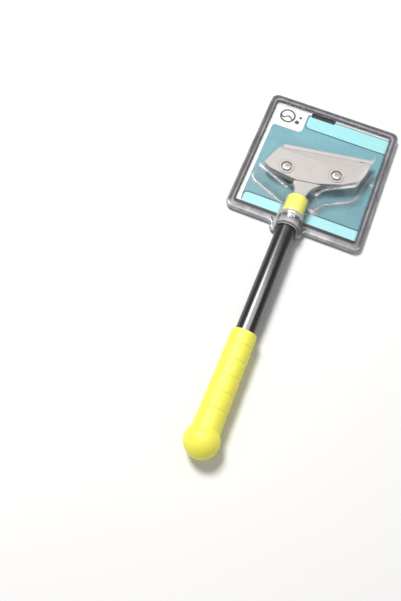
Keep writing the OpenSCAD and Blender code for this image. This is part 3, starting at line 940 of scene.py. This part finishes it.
class MakePlate(bpy.types.Operator):
    """Makes the cast clamp plate with its sloping front and the raised ring round each screw."""

    bl_idname = "scraper.make_plate"
    bl_label = "Clamp plate"

    def execute(self, context):
        sizes, _, colours, _ = settings()
        made = Surface()
        round_r, sides = sizes.cast_edge / MM, 72
        crease, drop, strip = PLATE_FRONT - 4.0, 2.3, 4.0
        outline = head_outline(PLATE_FRONT, 0.0, 520)
        # Points exactly on the crease, so the slope starts in a clean line
        for left in (False, True):
            near = np.where((outline[:, 0] < 0) == left, np.abs(outline[:, 1] - crease), 1e3)
            outline[near.argmin(), 1] = crease
        profile = edge_profile(PLATE_Z, PLATE_TOP, 0.5, round_r, sizes.cast_draft / MM)
        walls = rings(outline, profile)

        def slope(points):
            """Lowers points in front of the crease along a straight slope, less towards the plate's foot."""
            share = np.clip((points[..., 2] - PLATE_Z) / (PLATE_TOP - PLATE_Z), 0, 1)
            fall = np.clip(points[..., 1] - crease, 0, None) * drop / strip
            down = points.copy()
            down[..., 2] -= fall * share
            return down

        made.grid(place_head(slope(walls)), closed_columns=True)
        cups = []
        ring_r, recess_r = 8.2, 6.05
        floor = PLATE_TOP + RING_UP - 2.6
        ring_top = PLATE_TOP + RING_UP
        cup = rounded_path([
            (ring_r + 1.3, PLATE_TOP, 0), (ring_r + 0.9, PLATE_TOP, 0.2),
            (ring_r + 0.45, PLATE_TOP - 0.35, 0.25), (ring_r - 0.1, ring_top, 0.3),
            (recess_r + 0.1, ring_top, 0.3), (recess_r, floor, 0.35), (SCREW_HOLE_R, floor, 0.15),
            (SCREW_HOLE_R, PLATE_Z, 0)], 5, 4)
        a = np.linspace(0, 2 * math.pi, sides, endpoint=False)
        for side in (-1, 1):
            points = round_axis(side * SCREW_X, cup[:, :1], a, cup[:, 1:])
            cups.append(points)
            made.grid(place_head(points), closed_columns=True)
        made.cap(*[place_head(loop) for loop in (walls[0], cups[0][-1], cups[1][-1])])
        # Flat top behind the crease, and the sloping strip in front of it
        top = walls[-1]
        cut = np.flatnonzero((top[:, 1] <= crease + 1e-6) & (np.roll(top[:, 1], 1) > crease + 1e-6))[0]
        order = np.roll(top, -cut, 0)
        behind = order[order[:, 1] <= crease + 1e-6]
        front = np.concatenate([behind[-1:], order[order[:, 1] > crease + 1e-6], behind[:1]])
        made.cap(*[place_head(loop) for loop in (behind, cups[0][0], cups[1][0])])
        # Narrow slot near the right end of the strip
        slot = even_steps(box_outline(49.6, 55.4, 23.1, 24.3, 0.45), 48)
        slot = slope(lift(slot, PLATE_TOP))
        sunk = slot - (0, 0, 0.8)
        made.cap(place_head(slope(front)), place_head(slot))
        made.grid(place_head(np.stack([slot, sunk])), closed_columns=True)
        made.cap(place_head(sunk))
        plate = made.make("clamp_plate_cast", 22.0)
        finish_piece(plate, "clamp", "cast_alloy", alloy_cast(colours), "clamp_plate")
        return {"FINISHED"}


class MakeBlade(bpy.types.Operator):
    """Makes the steel blade with its ground edge."""

    bl_idname = "scraper.make_blade"
    bl_label = "Blade"

    def execute(self, context):
        z0, z1 = BLADE_LOW[2], BLADE_HIGH[2]
        front, back, right = BLADE_FRONT, BLADE_FRONT - BLADE_DEEP, side_at(BLADE_FRONT)
        section = np.array([(back, z0), (front - 1.6, z0), (front - 0.02, z0), (front, z0 + 0.1),
            (front - 0.8, z1 - 0.28), (front - 1.6, z1), (back + 0.05, z1), (back, z1 - 0.05)])
        t = np.linspace(0, 1, 60)[:, None]
        start, end = right - BLADE_LONG, right - (front - section[:, 0]) * RIGHT_LEAN
        across = start + (end - start) * t
        points = np.stack(np.broadcast_arrays(across, section[:, 0], section[:, 1]), -1)
        made = Surface()
        made.capped(place_head(points))
        finish_piece(made.make("blade_ground", 12.0), "blade", "blade_steel", steel_ground(), "scraper_blade")
        return {"FINISHED"}


class MakeFastenings(bpy.types.Operator):
    """Makes both cross-head screws with their split washers and thin hexagon nuts."""

    bl_idname = "scraper.make_fastenings"
    bl_label = "Screws, washers and nuts"

    def screw(self, name, x, turn):
        """Polar grid: a domed head sunk by a cross whose arms have sloping sides, on a threaded shank."""
        low, high = node_box(name)
        head_r, head_z = 4.75, high[2] - 2.0
        a = np.linspace(0, 2 * math.pi, 120, endpoint=False)
        r = np.concatenate([np.linspace(0.12, 3.2, 40), np.linspace(3.3, 4.4, 8)])[:, None]
        dome = 2.0 - 0.62 * (r / head_r) ** 4
        u, v = r * np.cos(a - turn), r * np.sin(a - turn)
        arm = np.maximum(
            smooth_step(0.62, 0.42, np.abs(u)) * smooth_step(2.55, 2.25, np.abs(v)),
            smooth_step(0.62, 0.42, np.abs(v)) * smooth_step(2.55, 2.25, np.abs(u)))
        z = head_z + dome - 1.15 * arm
        top = round_axis(x, r, a, z)
        centre = round_axis(x, 0.0, a, z[0].mean())[None]
        rim = np.array([(4.62, 1.2), (4.75, 0.95), (4.75, 0.2), (4.6, 0.0), (2.42, 0.0)])
        side = round_axis(x, rim[:, :1], a, head_z + rim[:, 1:])
        down = np.linspace(head_z - 0.3, low[2] + 0.35, 70)[:, None]
        thread = 2.42 - 0.26 * np.abs(((down / 0.8 + a / (2 * math.pi)) % 1) * 2 - 1)
        shank = round_axis(x, thread, a, down)
        tip = round_axis(x, 1.9, a, low[2])[None]
        made = Surface()
        made.grid(place_head(np.concatenate([centre, top, side, shank, tip])), closed_columns=True)
        made.cap(place_head(tip[0]))
        return made.make(name + "_cross", 30.0)

    def washer(self, name, x):
        """A square section carried round a ring that is cut at one place, its ends a little out of line."""
        low, _ = node_box(name)
        section = np.array([(2.55, 0), (4.4, 0), (4.55, 0.15), (4.55, 0.75), (4.4, 0.9), (2.55, 0.9)])
        a = np.linspace(math.radians(67), math.radians(413), 90)[:, None]
        up = low[2] + section[:, 1] + 0.1 * np.linspace(0, 1, 90)[:, None]
        made = Surface()
        made.capped(place_head(round_axis(x, section[:, 0], a, up)))
        return made.make(name + "_split", 30.0)

    def nut(self, name, x):
        """A hexagon whose corners are turned off by a cone at each face, round a plain bore."""
        low, high = node_box(name)
        a = np.linspace(0, 2 * math.pi, 96, endpoint=False)
        hexagon = 3.98 / np.cos(a % (math.pi / 3) - math.pi / 6)
        tall = high[2] - low[2]
        half = np.array([(2.52, 0), (3.9, 0), (4.3, 0.12), (4.75, 0.4)])
        levels = np.concatenate([half, (half * (1, -1) + (0, tall))[::-1]])
        r = np.minimum(levels[:, :1], hexagon)
        points = round_axis(x, r, a, low[2] + levels[:, 1:])
        made = Surface()
        made.grid(place_head(points), closed_rows=True, closed_columns=True)
        return made.make(name + "_hex", 25.0)

    def execute(self, context):
        _, _, colours, _ = settings()
        plate = steel_plated(colours)
        for side, x in (("left", -SCREW_X), ("right", SCREW_X)):
            screw = self.screw("clamp_screw_" + side, x, 0.35 if side == "left" else 0.6)
            finish_piece(screw, "screw_" + side, "plated_steel", plate, "clamp_screw_" + side)
            washer = self.washer("lock_washer_" + side, x)
            finish_piece(washer, "clamp", "plated_steel", plate, "lock_washer_" + side)
            nut = self.nut("clamp_nut_" + side, x)
            finish_piece(nut, "tool", "plated_steel", plate, "clamp_nut_" + side)
        return {"FINISHED"}


class FinishHidden(bpy.types.Operator):
    """Gives the hidden pieces inside the tube, whose shapes are already right, their materials."""

    bl_idname = "scraper.finish_hidden"
    bl_label = "Bush, pin and plug"

    def execute(self, context):
        _, _, colours, _ = settings()
        for name, material in (
            ("shank_bush", nylon_natural()),
            ("shank_roll_pin", steel_plated(colours)),
            ("tube_end_plug", plastic_black()),
        ):
            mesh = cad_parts[name].data
            mesh.materials.clear()
            mesh.materials.append(material)
        return {"FINISHED"}


class MakeCard(bpy.types.Operator):
    """Makes the printed card."""

    bl_idname = "scraper.make_card"
    bl_label = "Printed card"

    def execute(self, context):
        _, prints, colours, _ = settings()
        low, high = node_box("printed_card")
        low, high = low - ORIGIN, high - ORIGIN
        outline = even_steps(box_outline(low[0], high[0], low[1], high[1], 3), 400)
        walls = rings(outline, edge_profile(low[2], high[2], 0.08, 0.08, 0, 2))
        made = Surface()
        made.capped(place(walls))
        card = made.make("card_printed")
        finish_piece(card, "pack_back", "printed_board", board_printed(colours, prints), "printed_card")
        return {"FINISHED"}


def keyed(outline, keys, counts):
    """Points and outward normals of a closed outline, walked from key to key in equal steps of each stretch.
    A key is the outline's point nearest to the place given. The last stretch ends at the last key."""
    n = outward(outline)
    at = [int(np.linalg.norm(outline - key, axis=1).argmin()) for key in keys]
    table = np.concatenate([outline, n], 1)
    table = np.concatenate([np.roll(table, -at[0], 0), table[at[0]:at[0] + 1]])
    stops = [(k - at[0]) % len(outline) for k in at]
    run = np.concatenate([[0], np.cumsum(np.linalg.norm(np.diff(table[:, :2], axis=0), axis=1))])
    parts = []
    for first, last, count in zip(stops[:-1], stops[1:], counts):
        parts.append(np.linspace(run[first], run[last], count, endpoint=False))
    where = np.concatenate(parts + [[run[stops[-1]]]])
    return np.stack([np.interp(where, run, table[:, k]) for k in range(4)], -1)


def pack_outline():
    """Outline of the pack with its tongue round the handle."""
    tongue = 18.5
    corners = [(-tongue, MOUTH_Y, 6), (tongue, MOUTH_Y, 6), (tongue, 0, 3), (PACK_RIGHT, 0, 9),
        (PACK_RIGHT, PACK_TOP, 9), (PACK_LEFT, PACK_TOP, 9), (PACK_LEFT, 0, 9), (-tongue, 0, 3)]
    return even_steps(rounded_outline(corners, 60), OUTLINE_POINTS)


def face_outline():
    """Outline of the flat face inside the rim."""
    return even_steps(box_outline(FACE_LEFT, FACE_RIGHT, FACE_LOW, FACE_TOP, 3.5, 60), OUTLINE_POINTS)


def bubble_outline():
    """Foot of the bubble over the head, in the tool's axes."""
    corners = [(SIDE_LEFT - 9.8, -10, 8.5), (-24, -34.5, 8), (11, -37, 7.5), (18, -28.4, 6),
        (SIDE_RIGHT - 6, -15.5, 14), (SIDE_RIGHT + 10, 22.6, 20), (SIDE_RIGHT + 13, BUBBLE_FRONT, 10),
        (SIDE_LEFT + 9.9, BUBBLE_FRONT, 10)]
    flat = even_steps(rounded_outline(corners, 90), OUTLINE_POINTS)
    flat = place_head(lift(flat, 0)) / MM - ORIGIN
    return flat[:, :2]


class MakeFrontShell(bpy.types.Operator):
    """Makes the clear front shell: flat face, hollow rim, bubble over the head and channel over the handle.

    One grid: its rows are rings from the middle of the roof out to the pack's edge, and its columns are rays
    that cross them. Every outline is drawn in or out along its own normals, and the rays near the handle run
    straight along it, spaced round the channel's section."""

    bl_idname = "scraper.make_front_shell"
    bl_label = "Front shell"

    def channel_marks(self, points, marks, near_channel):
        """Marks of the channel: clear over the collar with a faint painted highlight, bands of painted
        reflection, light and dark, where it closes on the tube, and a pale painted highlight along its foot.
        """
        x, y, z = points[..., 0], points[..., 1], points[..., 2]
        near = near_channel[None, :] & (z > RIM_Z + 0.6) & (y < 44)
        foot = near_channel[None, :] & (z > FACE_Z + 0.1) & (z <= RIM_Z + 2.5) & (y > RIM_W)
        neck = smooth_step(9.5, 7.0, y)
        painted_reflection_bands = 0.5 + 0.5 * np.cos((y - 6.0) * 2 * math.pi / 5.2)
        side = smooth_step(CHANNEL_R - 4.5, CHANNEL_R - 0.5, np.abs(x))
        bend = np.where(near, 0.02 + 0.12 * side + neck * (0.35 + 0.3 * painted_reflection_bands), marks[..., 0])
        light = np.where(near, (1 - neck) * 0.6 + neck * (0.1 + 0.9 * painted_reflection_bands), marks[..., 1])
        return np.stack([np.where(foot, 0.5, bend), np.where(foot, 0.75, light)], -1)

    def execute(self, context):
        _, sizes, colours, _ = settings()
        reach = 15.6
        edge = CHANNEL_R + 1.0
        # Section of the channel from its right foot over the top to its left foot
        arc = np.radians(np.linspace(90, -90, 45))
        over = np.stack([CHANNEL_R * np.sin(arc), AXIS_Z + CHANNEL_R * np.cos(arc)], -1)
        leg = rounded_path([(reach, FACE_Z, 0), (edge, FACE_Z, 1.0), (CHANNEL_R, AXIS_Z, 0)], 5, 5)
        section = np.concatenate([leg[:-1], over, (leg[:-1] * (-1, 1))[::-1]])
        feet = len(leg) - 1
        # The mouth's edge, matched to the section: up a leg, round over the tube, and down the other leg
        mouth_r = TUBE_R + 0.85
        share = np.clip((leg[:-1, 1] - FACE_Z) / (AXIS_Z - FACE_Z), 0, 1)
        flat_part = np.clip((reach - leg[:-1, 0]) / (reach - edge), 0, 1)
        leg_x, leg_z = reach + (mouth_r - reach) * flat_part, FLANGE_Z + (AXIS_Z - FLANGE_Z) * share
        leg_mouth = np.stack([leg_x, leg_z], -1)
        arch = np.stack([mouth_r * np.sin(arc), AXIS_Z + mouth_r * np.cos(arc)], -1)
        mouth = np.concatenate([leg_mouth, arch, (leg_mouth * (-1, 1))[::-1]])

        # Rays round the rest, from the right of the channel to its left
        counts = (16, 70, 105, 120, 105, 70, 16)
        foot = bubble_outline()

        def foot_y(x):
            """Y of the bubble's lower edge at an X near the handle."""
            lower = foot[(foot[:, 1] < 45) & (np.abs(foot[:, 0]) < 40)]
            order = np.argsort(lower[:, 0])
            return np.interp(x, lower[order, 0], lower[order, 1])

        bubble = keyed(foot, [(reach, foot_y(reach)), to_tool(16, -33.5), to_tool(SIDE_RIGHT - 2, -13),
            to_tool(SIDE_RIGHT + 13, BUBBLE_FRONT), to_tool(SIDE_LEFT + 9.9, BUBBLE_FRONT),
            to_tool(SIDE_LEFT - 9.8, -10), to_tool(-25, -34), (-reach, foot_y(-reach))], counts)
        face = keyed(face_outline(), [(reach, FACE_LOW), (24, FACE_LOW), *FACE_CORNERS, (-24, FACE_LOW),
            (-reach, FACE_LOW)], counts)
        outer = keyed(pack_outline(), [(reach - 1, MOUTH_Y), (24, 0), *PACK_CORNERS, (-24, 0),
            (-reach + 1, MOUTH_Y)], counts)
        down = np.array([[0.0, -1.0]])
        inner_x = section[::-1, 0][1:-1]

        def with_channel(table, y):
            """Adds the rays near the handle, from its left to its right, to a keyed outline."""
            flat = np.stack([inner_x, np.broadcast_to(y, inner_x.shape)], -1)
            return np.concatenate([table, np.concatenate([flat, np.repeat(down, len(inner_x), 0)], 1)])

        bubble = with_channel(bubble, foot_y(inner_x))
        face = with_channel(face, FACE_LOW)
        outer = with_channel(outer, MOUTH_Y)
        rays = len(bubble)
        channel_z = np.full(rays, -50.0)
        channel_z[-len(inner_x):] = section[::-1, 1][1:-1]
        near_channel = channel_z > 0

        def channel_at(xy):
            """Height of the channel over a point: its section, drawn in at the mouth and sunk past the
            neck."""
            x, y = xy[:, 0], xy[:, 1]
            shrink = 1.35 * smooth_step(7, 1.5, y) + 7.0 * smooth_step(30, 48, y)
            shrink = shrink - 0.75 * np.exp(-(((y - MOUTH_Y) / 1.6) ** 2))
            r = CHANNEL_R - shrink
            inside = np.abs(x) < r
            dome = AXIS_Z + np.sqrt(np.clip(r * r - x * x, 0, None))
            leg_z = np.interp(np.abs(x), [CHANNEL_R, edge, reach], [AXIS_Z, FACE_Z + 1.2, FACE_Z])
            z = np.where(inside, dome, np.where(near_channel, np.maximum(channel_z - shrink, FACE_Z), -50))
            return np.where(y > 52, -50, np.where(inside | near_channel, z, -50))

        rows, heights, bends, lights = [], [], [], []
        # The bubble's painted highlight lines stand on the side towards the handle, and fade out round its
        # front
        highlit_side = smooth_step(0.12, -0.35, bubble[:, 3])
        everywhere = np.ones(rays)

        def ring(xy, z, bend, light, share=everywhere):
            tall = soft_max(channel_at(xy), np.full(rays, float(z)), 0.6)
            tall = np.where(channel_at(xy) < -1, z, tall)
            rows.append(xy)
            heights.append(tall)
            bends.append(bend * share)
            lights.append(np.broadcast_to(light, (rays,)))

        # Roof, walls and foot of the bubble, with painted highlight lines along the roof's crease and the
        # foot, and a faint pale painted tint on the walls
        draft, roof_r, base_r = sizes.draft / MM, sizes.roof_round / MM, sizes.base_round / MM
        profile = rounded_path([(-draft - 2.9, ROOF_Z, 0), (-draft, ROOF_Z, roof_r), (0, FACE_Z, base_r),
            (3.5, FACE_Z, 0)], 7, 6)
        centre = to_tool(4, 6)
        inmost = bubble[:, :2] + bubble[:, 2:] * profile[0, 0]
        for t in (0, 0.04, 0.12, 0.25, 0.4, 0.55, 0.7, 0.82, 0.92):
            ring(centre + (inmost - centre) * t, ROOF_Z, 0, 1)
        for grow, z in profile:
            roof_painted_highlight = math.exp(-(((grow + draft + 1.4) / 1.4) ** 2)) if z > ROOF_Z - 3 else 0
            foot_painted_highlight = math.exp(-(((grow - 1.3) / 1.6) ** 2)) if z < FACE_Z + 4 else 0
            on_wall = 0.14 if FACE_Z + 0.6 < z < ROOF_Z - 0.6 else 0
            bend = max(roof_painted_highlight * 0.62, foot_painted_highlight * 0.62, on_wall)
            ring(bubble[:, :2] + bubble[:, 2:] * grow, z, bend, 1.0, 0.02 + 0.98 * highlit_side)
        # Flat face out to the rim
        start = bubble[:, :2] + bubble[:, 2:] * profile[-1, 0]
        end = face[:, :2] - face[:, 2:] * 1.2
        for t in (0.12, 0.25, 0.4, 0.55, 0.7, 0.85, 0.95):
            ring(start + (end - start) * t, FACE_Z, 0, 1)
        # Rim: up its inner wall, over the bead and down to the flange, in painted shade with painted
        # highlight lines, and more painted highlight on the handle's side
        handle_side_highlight = smooth_step(0.3, 0.9, -outer[:, 3])
        inner_rim = rounded_path([(-1.2, FACE_Z, 0), (0.1, FACE_Z, 0.5), (0.7, RIM_Z - 0.15, 0.8),
            (2.4, RIM_Z, 0)], 5, 2)
        for grow, z in inner_rim:
            # Painted highlight rising up the inner wall
            light = 0.45 * smooth_step(FACE_Z + 0.8, RIM_Z - 0.1, z)
            ring(face[:, :2] + face[:, 2:] * grow, z, 0.0 if grow < -0.5 else 0.7, light)
        start, end = rows[-1], outer[:, :2] - outer[:, 2:] * 2.4
        for t in (0.2, 0.5, 0.8):
            ring(start + (end - start) * t, RIM_Z, 0.76, 0.05 + 0.6 * handle_side_highlight)
        outer_rim = rounded_path([(2.4, RIM_Z, 0), (0.75, RIM_Z - 0.1, 1.3), (0.45, FLANGE_Z + 0.4, 0.4),
            (0.0, FLANGE_Z, 0)], 6, 3)
        for inset, z in outer_rim:
            # Painted highlight lines just under the bead's top and along the flange
            light = 0.3 * math.exp(-(((z - RIM_Z + 0.3) / 0.6) ** 2))
            light += 0.4 * math.exp(-(((z - FLANGE_Z) / 0.5) ** 2))
            ring(outer[:, :2] - outer[:, 2:] * inset, z, 0.95, light + 0.5 * handle_side_highlight)
        points = np.concatenate([np.array(rows), np.array(heights)[..., None]], -1)
        # Last ring: the sheet turns in to the mouth's edge round the tube
        last = points[-1].copy()
        many = len(inner_x)
        inner_mouth = mouth[::-1][1:-1]
        last[-many:, 0], last[-many:, 1], last[-many:, 2] = inner_mouth[:, 0], MOUTH_Y, inner_mouth[:, 1]
        inner_ring = np.concatenate([points, last[None]])
        # The turn-in shows strongly, halfway between painted shade and painted highlight
        bends.append(np.full(rays, 0.8))
        lights.append(np.full(rays, 0.5))
        marks = np.stack([bends, lights], -1)
        marks = self.channel_marks(inner_ring, marks, near_channel)
        # Two painted glints: a pale, nearly opaque spot on the bubble's foot beside the collar, and a small
        # one near the rim on the right
        foot_glint_distance = np.linalg.norm(inner_ring[..., :2] - to_tool(10.5, -38.2), axis=-1)
        rim_glint_distance = np.linalg.norm(inner_ring[..., :2] - (69.2, 85.0), axis=-1)
        white = np.maximum(np.exp(-((foot_glint_distance / 4.4) ** 2)), np.exp(-((rim_glint_distance / 1.8) ** 2)))
        marks[..., 0] = np.maximum(marks[..., 0], 0.95 * white)
        marks[..., 1] = np.maximum(marks[..., 1], white)
        made = Surface()
        made.grid(place(inner_ring), closed_columns=True, marks=marks)
        shell = make_sheet(made, "front_shell_clear", sizes.sheet)
        clear = sheet_clear("clear front sheet", colours, 0.012, 1.0)
        finish_piece(shell, "pack_front", "clear_sheet", clear, "pack_front_shell")
        return {"FINISHED"}


def make_sheet(made, name, thickness):
    """The object of an open sheet: turned over if most of it faces down, with its thickness below it."""
    thing = made.make(name, 60.0, closed=False, mark_names=("bend", "light"))
    mesh = thing.data
    normals, areas = np.zeros(len(mesh.polygons) * 3), np.zeros(len(mesh.polygons))
    mesh.polygons.foreach_get("normal", normals)
    mesh.polygons.foreach_get("area", areas)
    if (normals.reshape(-1, 3)[:, 2] * areas).sum() < 0:
        mesh.flip_normals()
    wall = thing.modifiers.new("sheet thickness", "SOLIDIFY")
    wall.thickness = thickness
    wall.offset = -1.0
    return thing


class MakeBackShell(bpy.types.Operator):
    """Makes the clear back shell: a raised tray for the card, and a trough round it under the rim."""

    bl_idname = "scraper.make_back_shell"
    bl_label = "Back shell"

    def execute(self, context):
        _, sizes, colours, _ = settings()
        counts = (90, 100, 120, 100, 90, 60)
        face_keys = [(0, FACE_LOW), *FACE_CORNERS, (-24, FACE_LOW), (-0.2, FACE_LOW)]
        face = keyed(face_outline(), face_keys, counts)
        outer = keyed(pack_outline(), [(0, MOUTH_Y), *PACK_CORNERS, (-24, 0), (-0.2, MOUTH_Y)], counts)
        rows, marks = [], []

        def ring(xy, z, bend):
            rows.append(np.concatenate([xy, np.full((len(xy), 1), float(z))], 1))
            # The sheet shows where it bends, with painted highlight 0.6 as strong as the bend over the
            # painted shade of the dark sheet colour
            marks.append(np.broadcast_to([bend, bend * 0.6], (len(xy), 2)))

        # The sheet's upper side: its lower side rests on the table
        low = sizes.sheet / MM + 0.02
        tray = [(-3, TRAY_Z, 0), (0, TRAY_Z, 0.6), (0.6, low + 0.03, 0.6), (2.5, low, 0)]
        trough = [(2.2, low, 0), (0.75, low, 0.6), (0.5, 2.0, 0.3), (0.0, 2.4, 0)]
        for grow, z in rounded_path(tray, 5, 3):
            ring(face[:, :2] + face[:, 2:] * grow, z, 0.8 if -1 < grow < 1.5 else 0.1)
        start, end = rows[-1][:, :2], outer[:, :2] - outer[:, 2:] * 2.2
        for t in (0.25, 0.5, 0.75):
            ring(start + (end - start) * t, low, 0.1)
        for inset, z in rounded_path(trough, 5, 2):
            ring(outer[:, :2] - outer[:, 2:] * inset, z, 0.8 if inset < 1.5 else 0.1)
        made = Surface()
        points = np.array(rows)
        made.grid(place(points), closed_columns=True, marks=np.array(marks))
        made.cap(place(points[0]))
        shell = make_sheet(made, "back_shell_clear", sizes.sheet)
        clear = sheet_clear("clear back sheet", colours, 0.05, 0.9)
        finish_piece(shell, "pack_back", "clear_sheet", clear, "pack_back_shell")
        return {"FINISHED"}


class MakeStage(bpy.types.Operator):
    """Makes the floor, the lights and the camera."""

    bl_idname = "scraper.make_stage"
    bl_label = "Floor, lights and camera"

    def area_light(self, name, at, aim, width, tall, power, colour, lights_matt=True):
        data = bpy.data.lights.new(name, "AREA")
        data.shape = "RECTANGLE"
        data.size, data.size_y, data.energy, data.color = width, tall, power, colour
        lamp = bpy.data.objects.new(name, data)
        look = (np.array(aim) - np.array(at)) / np.linalg.norm(np.array(aim) - np.array(at))
        side = np.cross(look, (0, 0, 1.0))
        side = side / np.linalg.norm(side)
        up = np.cross(side, look)
        turn = Matrix(np.stack([side, up, -look], 1).tolist()).to_4x4()
        lamp.matrix_world = Matrix.Translation(at) @ turn
        lamp.visible_diffuse = lights_matt
        bpy.context.scene.collection.objects.link(lamp)

    def execute(self, context):
        _, _, _, stage = settings()
        scene = context.scene
        # Floor, just clear of the pieces that rest on it
        half, z = 4.0, -0.0003
        corners = [(-half, -half, z), (half, -half, z), (half, half, z), (-half, half, z)]
        mesh = bpy.data.meshes.new("floor")
        mesh.from_pydata(corners, [], [(0, 1, 2, 3)])
        floor = bpy.data.objects.new("floor", mesh)
        scene.collection.objects.link(floor)
        material, n, shader, where = new_material("pale floor")
        soft = n.noise(where, 3.0, 2.0)
        tone = n.mix(n.ramp(soft, 0.3, 0.7), opaque(c * 0.99 for c in stage.floor), opaque(stage.floor))
        n.join(tone, shader.inputs["Base Color"])
        shader.inputs["Roughness"].default_value = 0.9
        shader.inputs["Specular IOR Level"].default_value = 0.1
        mesh.materials.append(material)
        # Even sky, a soft light from the upper left, and a wide one overhead for the streak on the tube
        world = bpy.data.worlds.new("even sky")
        scene.world = world
        world.use_nodes = True
        back = next(x for x in world.node_tree.nodes if x.type == "BACKGROUND")
        back.inputs["Color"].default_value = (1.0, 1.0, 1.0, 1)
        back.inputs["Strength"].default_value = stage.sky
        self.area_light("key", (-0.78, 0.52, 1.75), (0, 0, 0), 0.5, 0.5, stage.key, (1.0, 0.985, 0.97))
        self.area_light("gloss", (-0.15, 0.26, 1.0), (-0.15, 0, 0), 1.5, 0.26, stage.gloss, (1.0, 0.96, 0.97),
            lights_matt=False)
        # Camera, turned and tilted to the viewing angle
        camera = bpy.data.cameras.new("camera")
        camera.sensor_fit = "VERTICAL"
        camera.sensor_height = 36.0
        camera.lens = 32.05
        camera.clip_start, camera.clip_end = 0.01, 20.0
        eye = bpy.data.objects.new("camera", camera)
        right, up, forward = (0.9247, 0.3803, 0.0156), (-0.3628, 0.8683, 0.3384), (-0.1151, 0.3186, -0.9409)
        turn = Matrix([[right[k], up[k], -forward[k]] for k in range(3)]).to_4x4()
        eye.matrix_world = Matrix.Translation((0.0045, -0.2371, 0.5157)) @ turn
        scene.collection.objects.link(eye)
        scene.camera = eye
        scene.view_settings.view_transform = "Standard"
        # A low view looks through many layers of the clear sheet
        scene.cycles.transparent_max_bounces = 32
        return {"FINISHED"}


class ScraperPanel(bpy.types.Panel):
    """Lists the sizes, the colours and every piece."""

    bl_idname = "VIEW3D_PT_scraper"
    bl_label = "Scraper"
    bl_space_type = "VIEW_3D"
    bl_region_type = "UI"
    bl_category = "Scraper"

    def draw(self, context):
        scene = context.scene
        for group in (scene.scraper_sizes, scene.pack_sizes, scene.scraper_colours, scene.stage_settings):
            column = self.layout.column()
            for key in group.__annotations__:
                column.prop(group, key)
        for operator in OPERATORS:
            self.layout.operator(operator.bl_idname)


OPERATORS = (MakeTube, MakeGrip, MakeCollar, MakeHead, MakePlate, MakeBlade, MakeFastenings, FinishHidden,
    MakeCard, MakeFrontShell, MakeBackShell, MakeStage)
CLASSES = (ScraperSizes, PackSizes, ScraperColours, StageSettings) + OPERATORS + (ScraperPanel,)
GROUPS = {
    "scraper_sizes": ScraperSizes,
    "pack_sizes": PackSizes,
    "scraper_colours": ScraperColours,
    "stage_settings": StageSettings,
}


def register():
    for item in CLASSES:
        bpy.utils.register_class(item)
    for name, group in GROUPS.items():
        setattr(bpy.types.Scene, name, PointerProperty(type=group))


def unregister():
    for name in GROUPS:
        delattr(bpy.types.Scene, name)
    for item in reversed(CLASSES):
        bpy.utils.unregister_class(item)


def main():
    register()
    for operator in OPERATORS:
        family, name = operator.bl_idname.split(".")
        getattr(getattr(bpy.ops, family), name)()


if __name__ == "__main__":
    main()
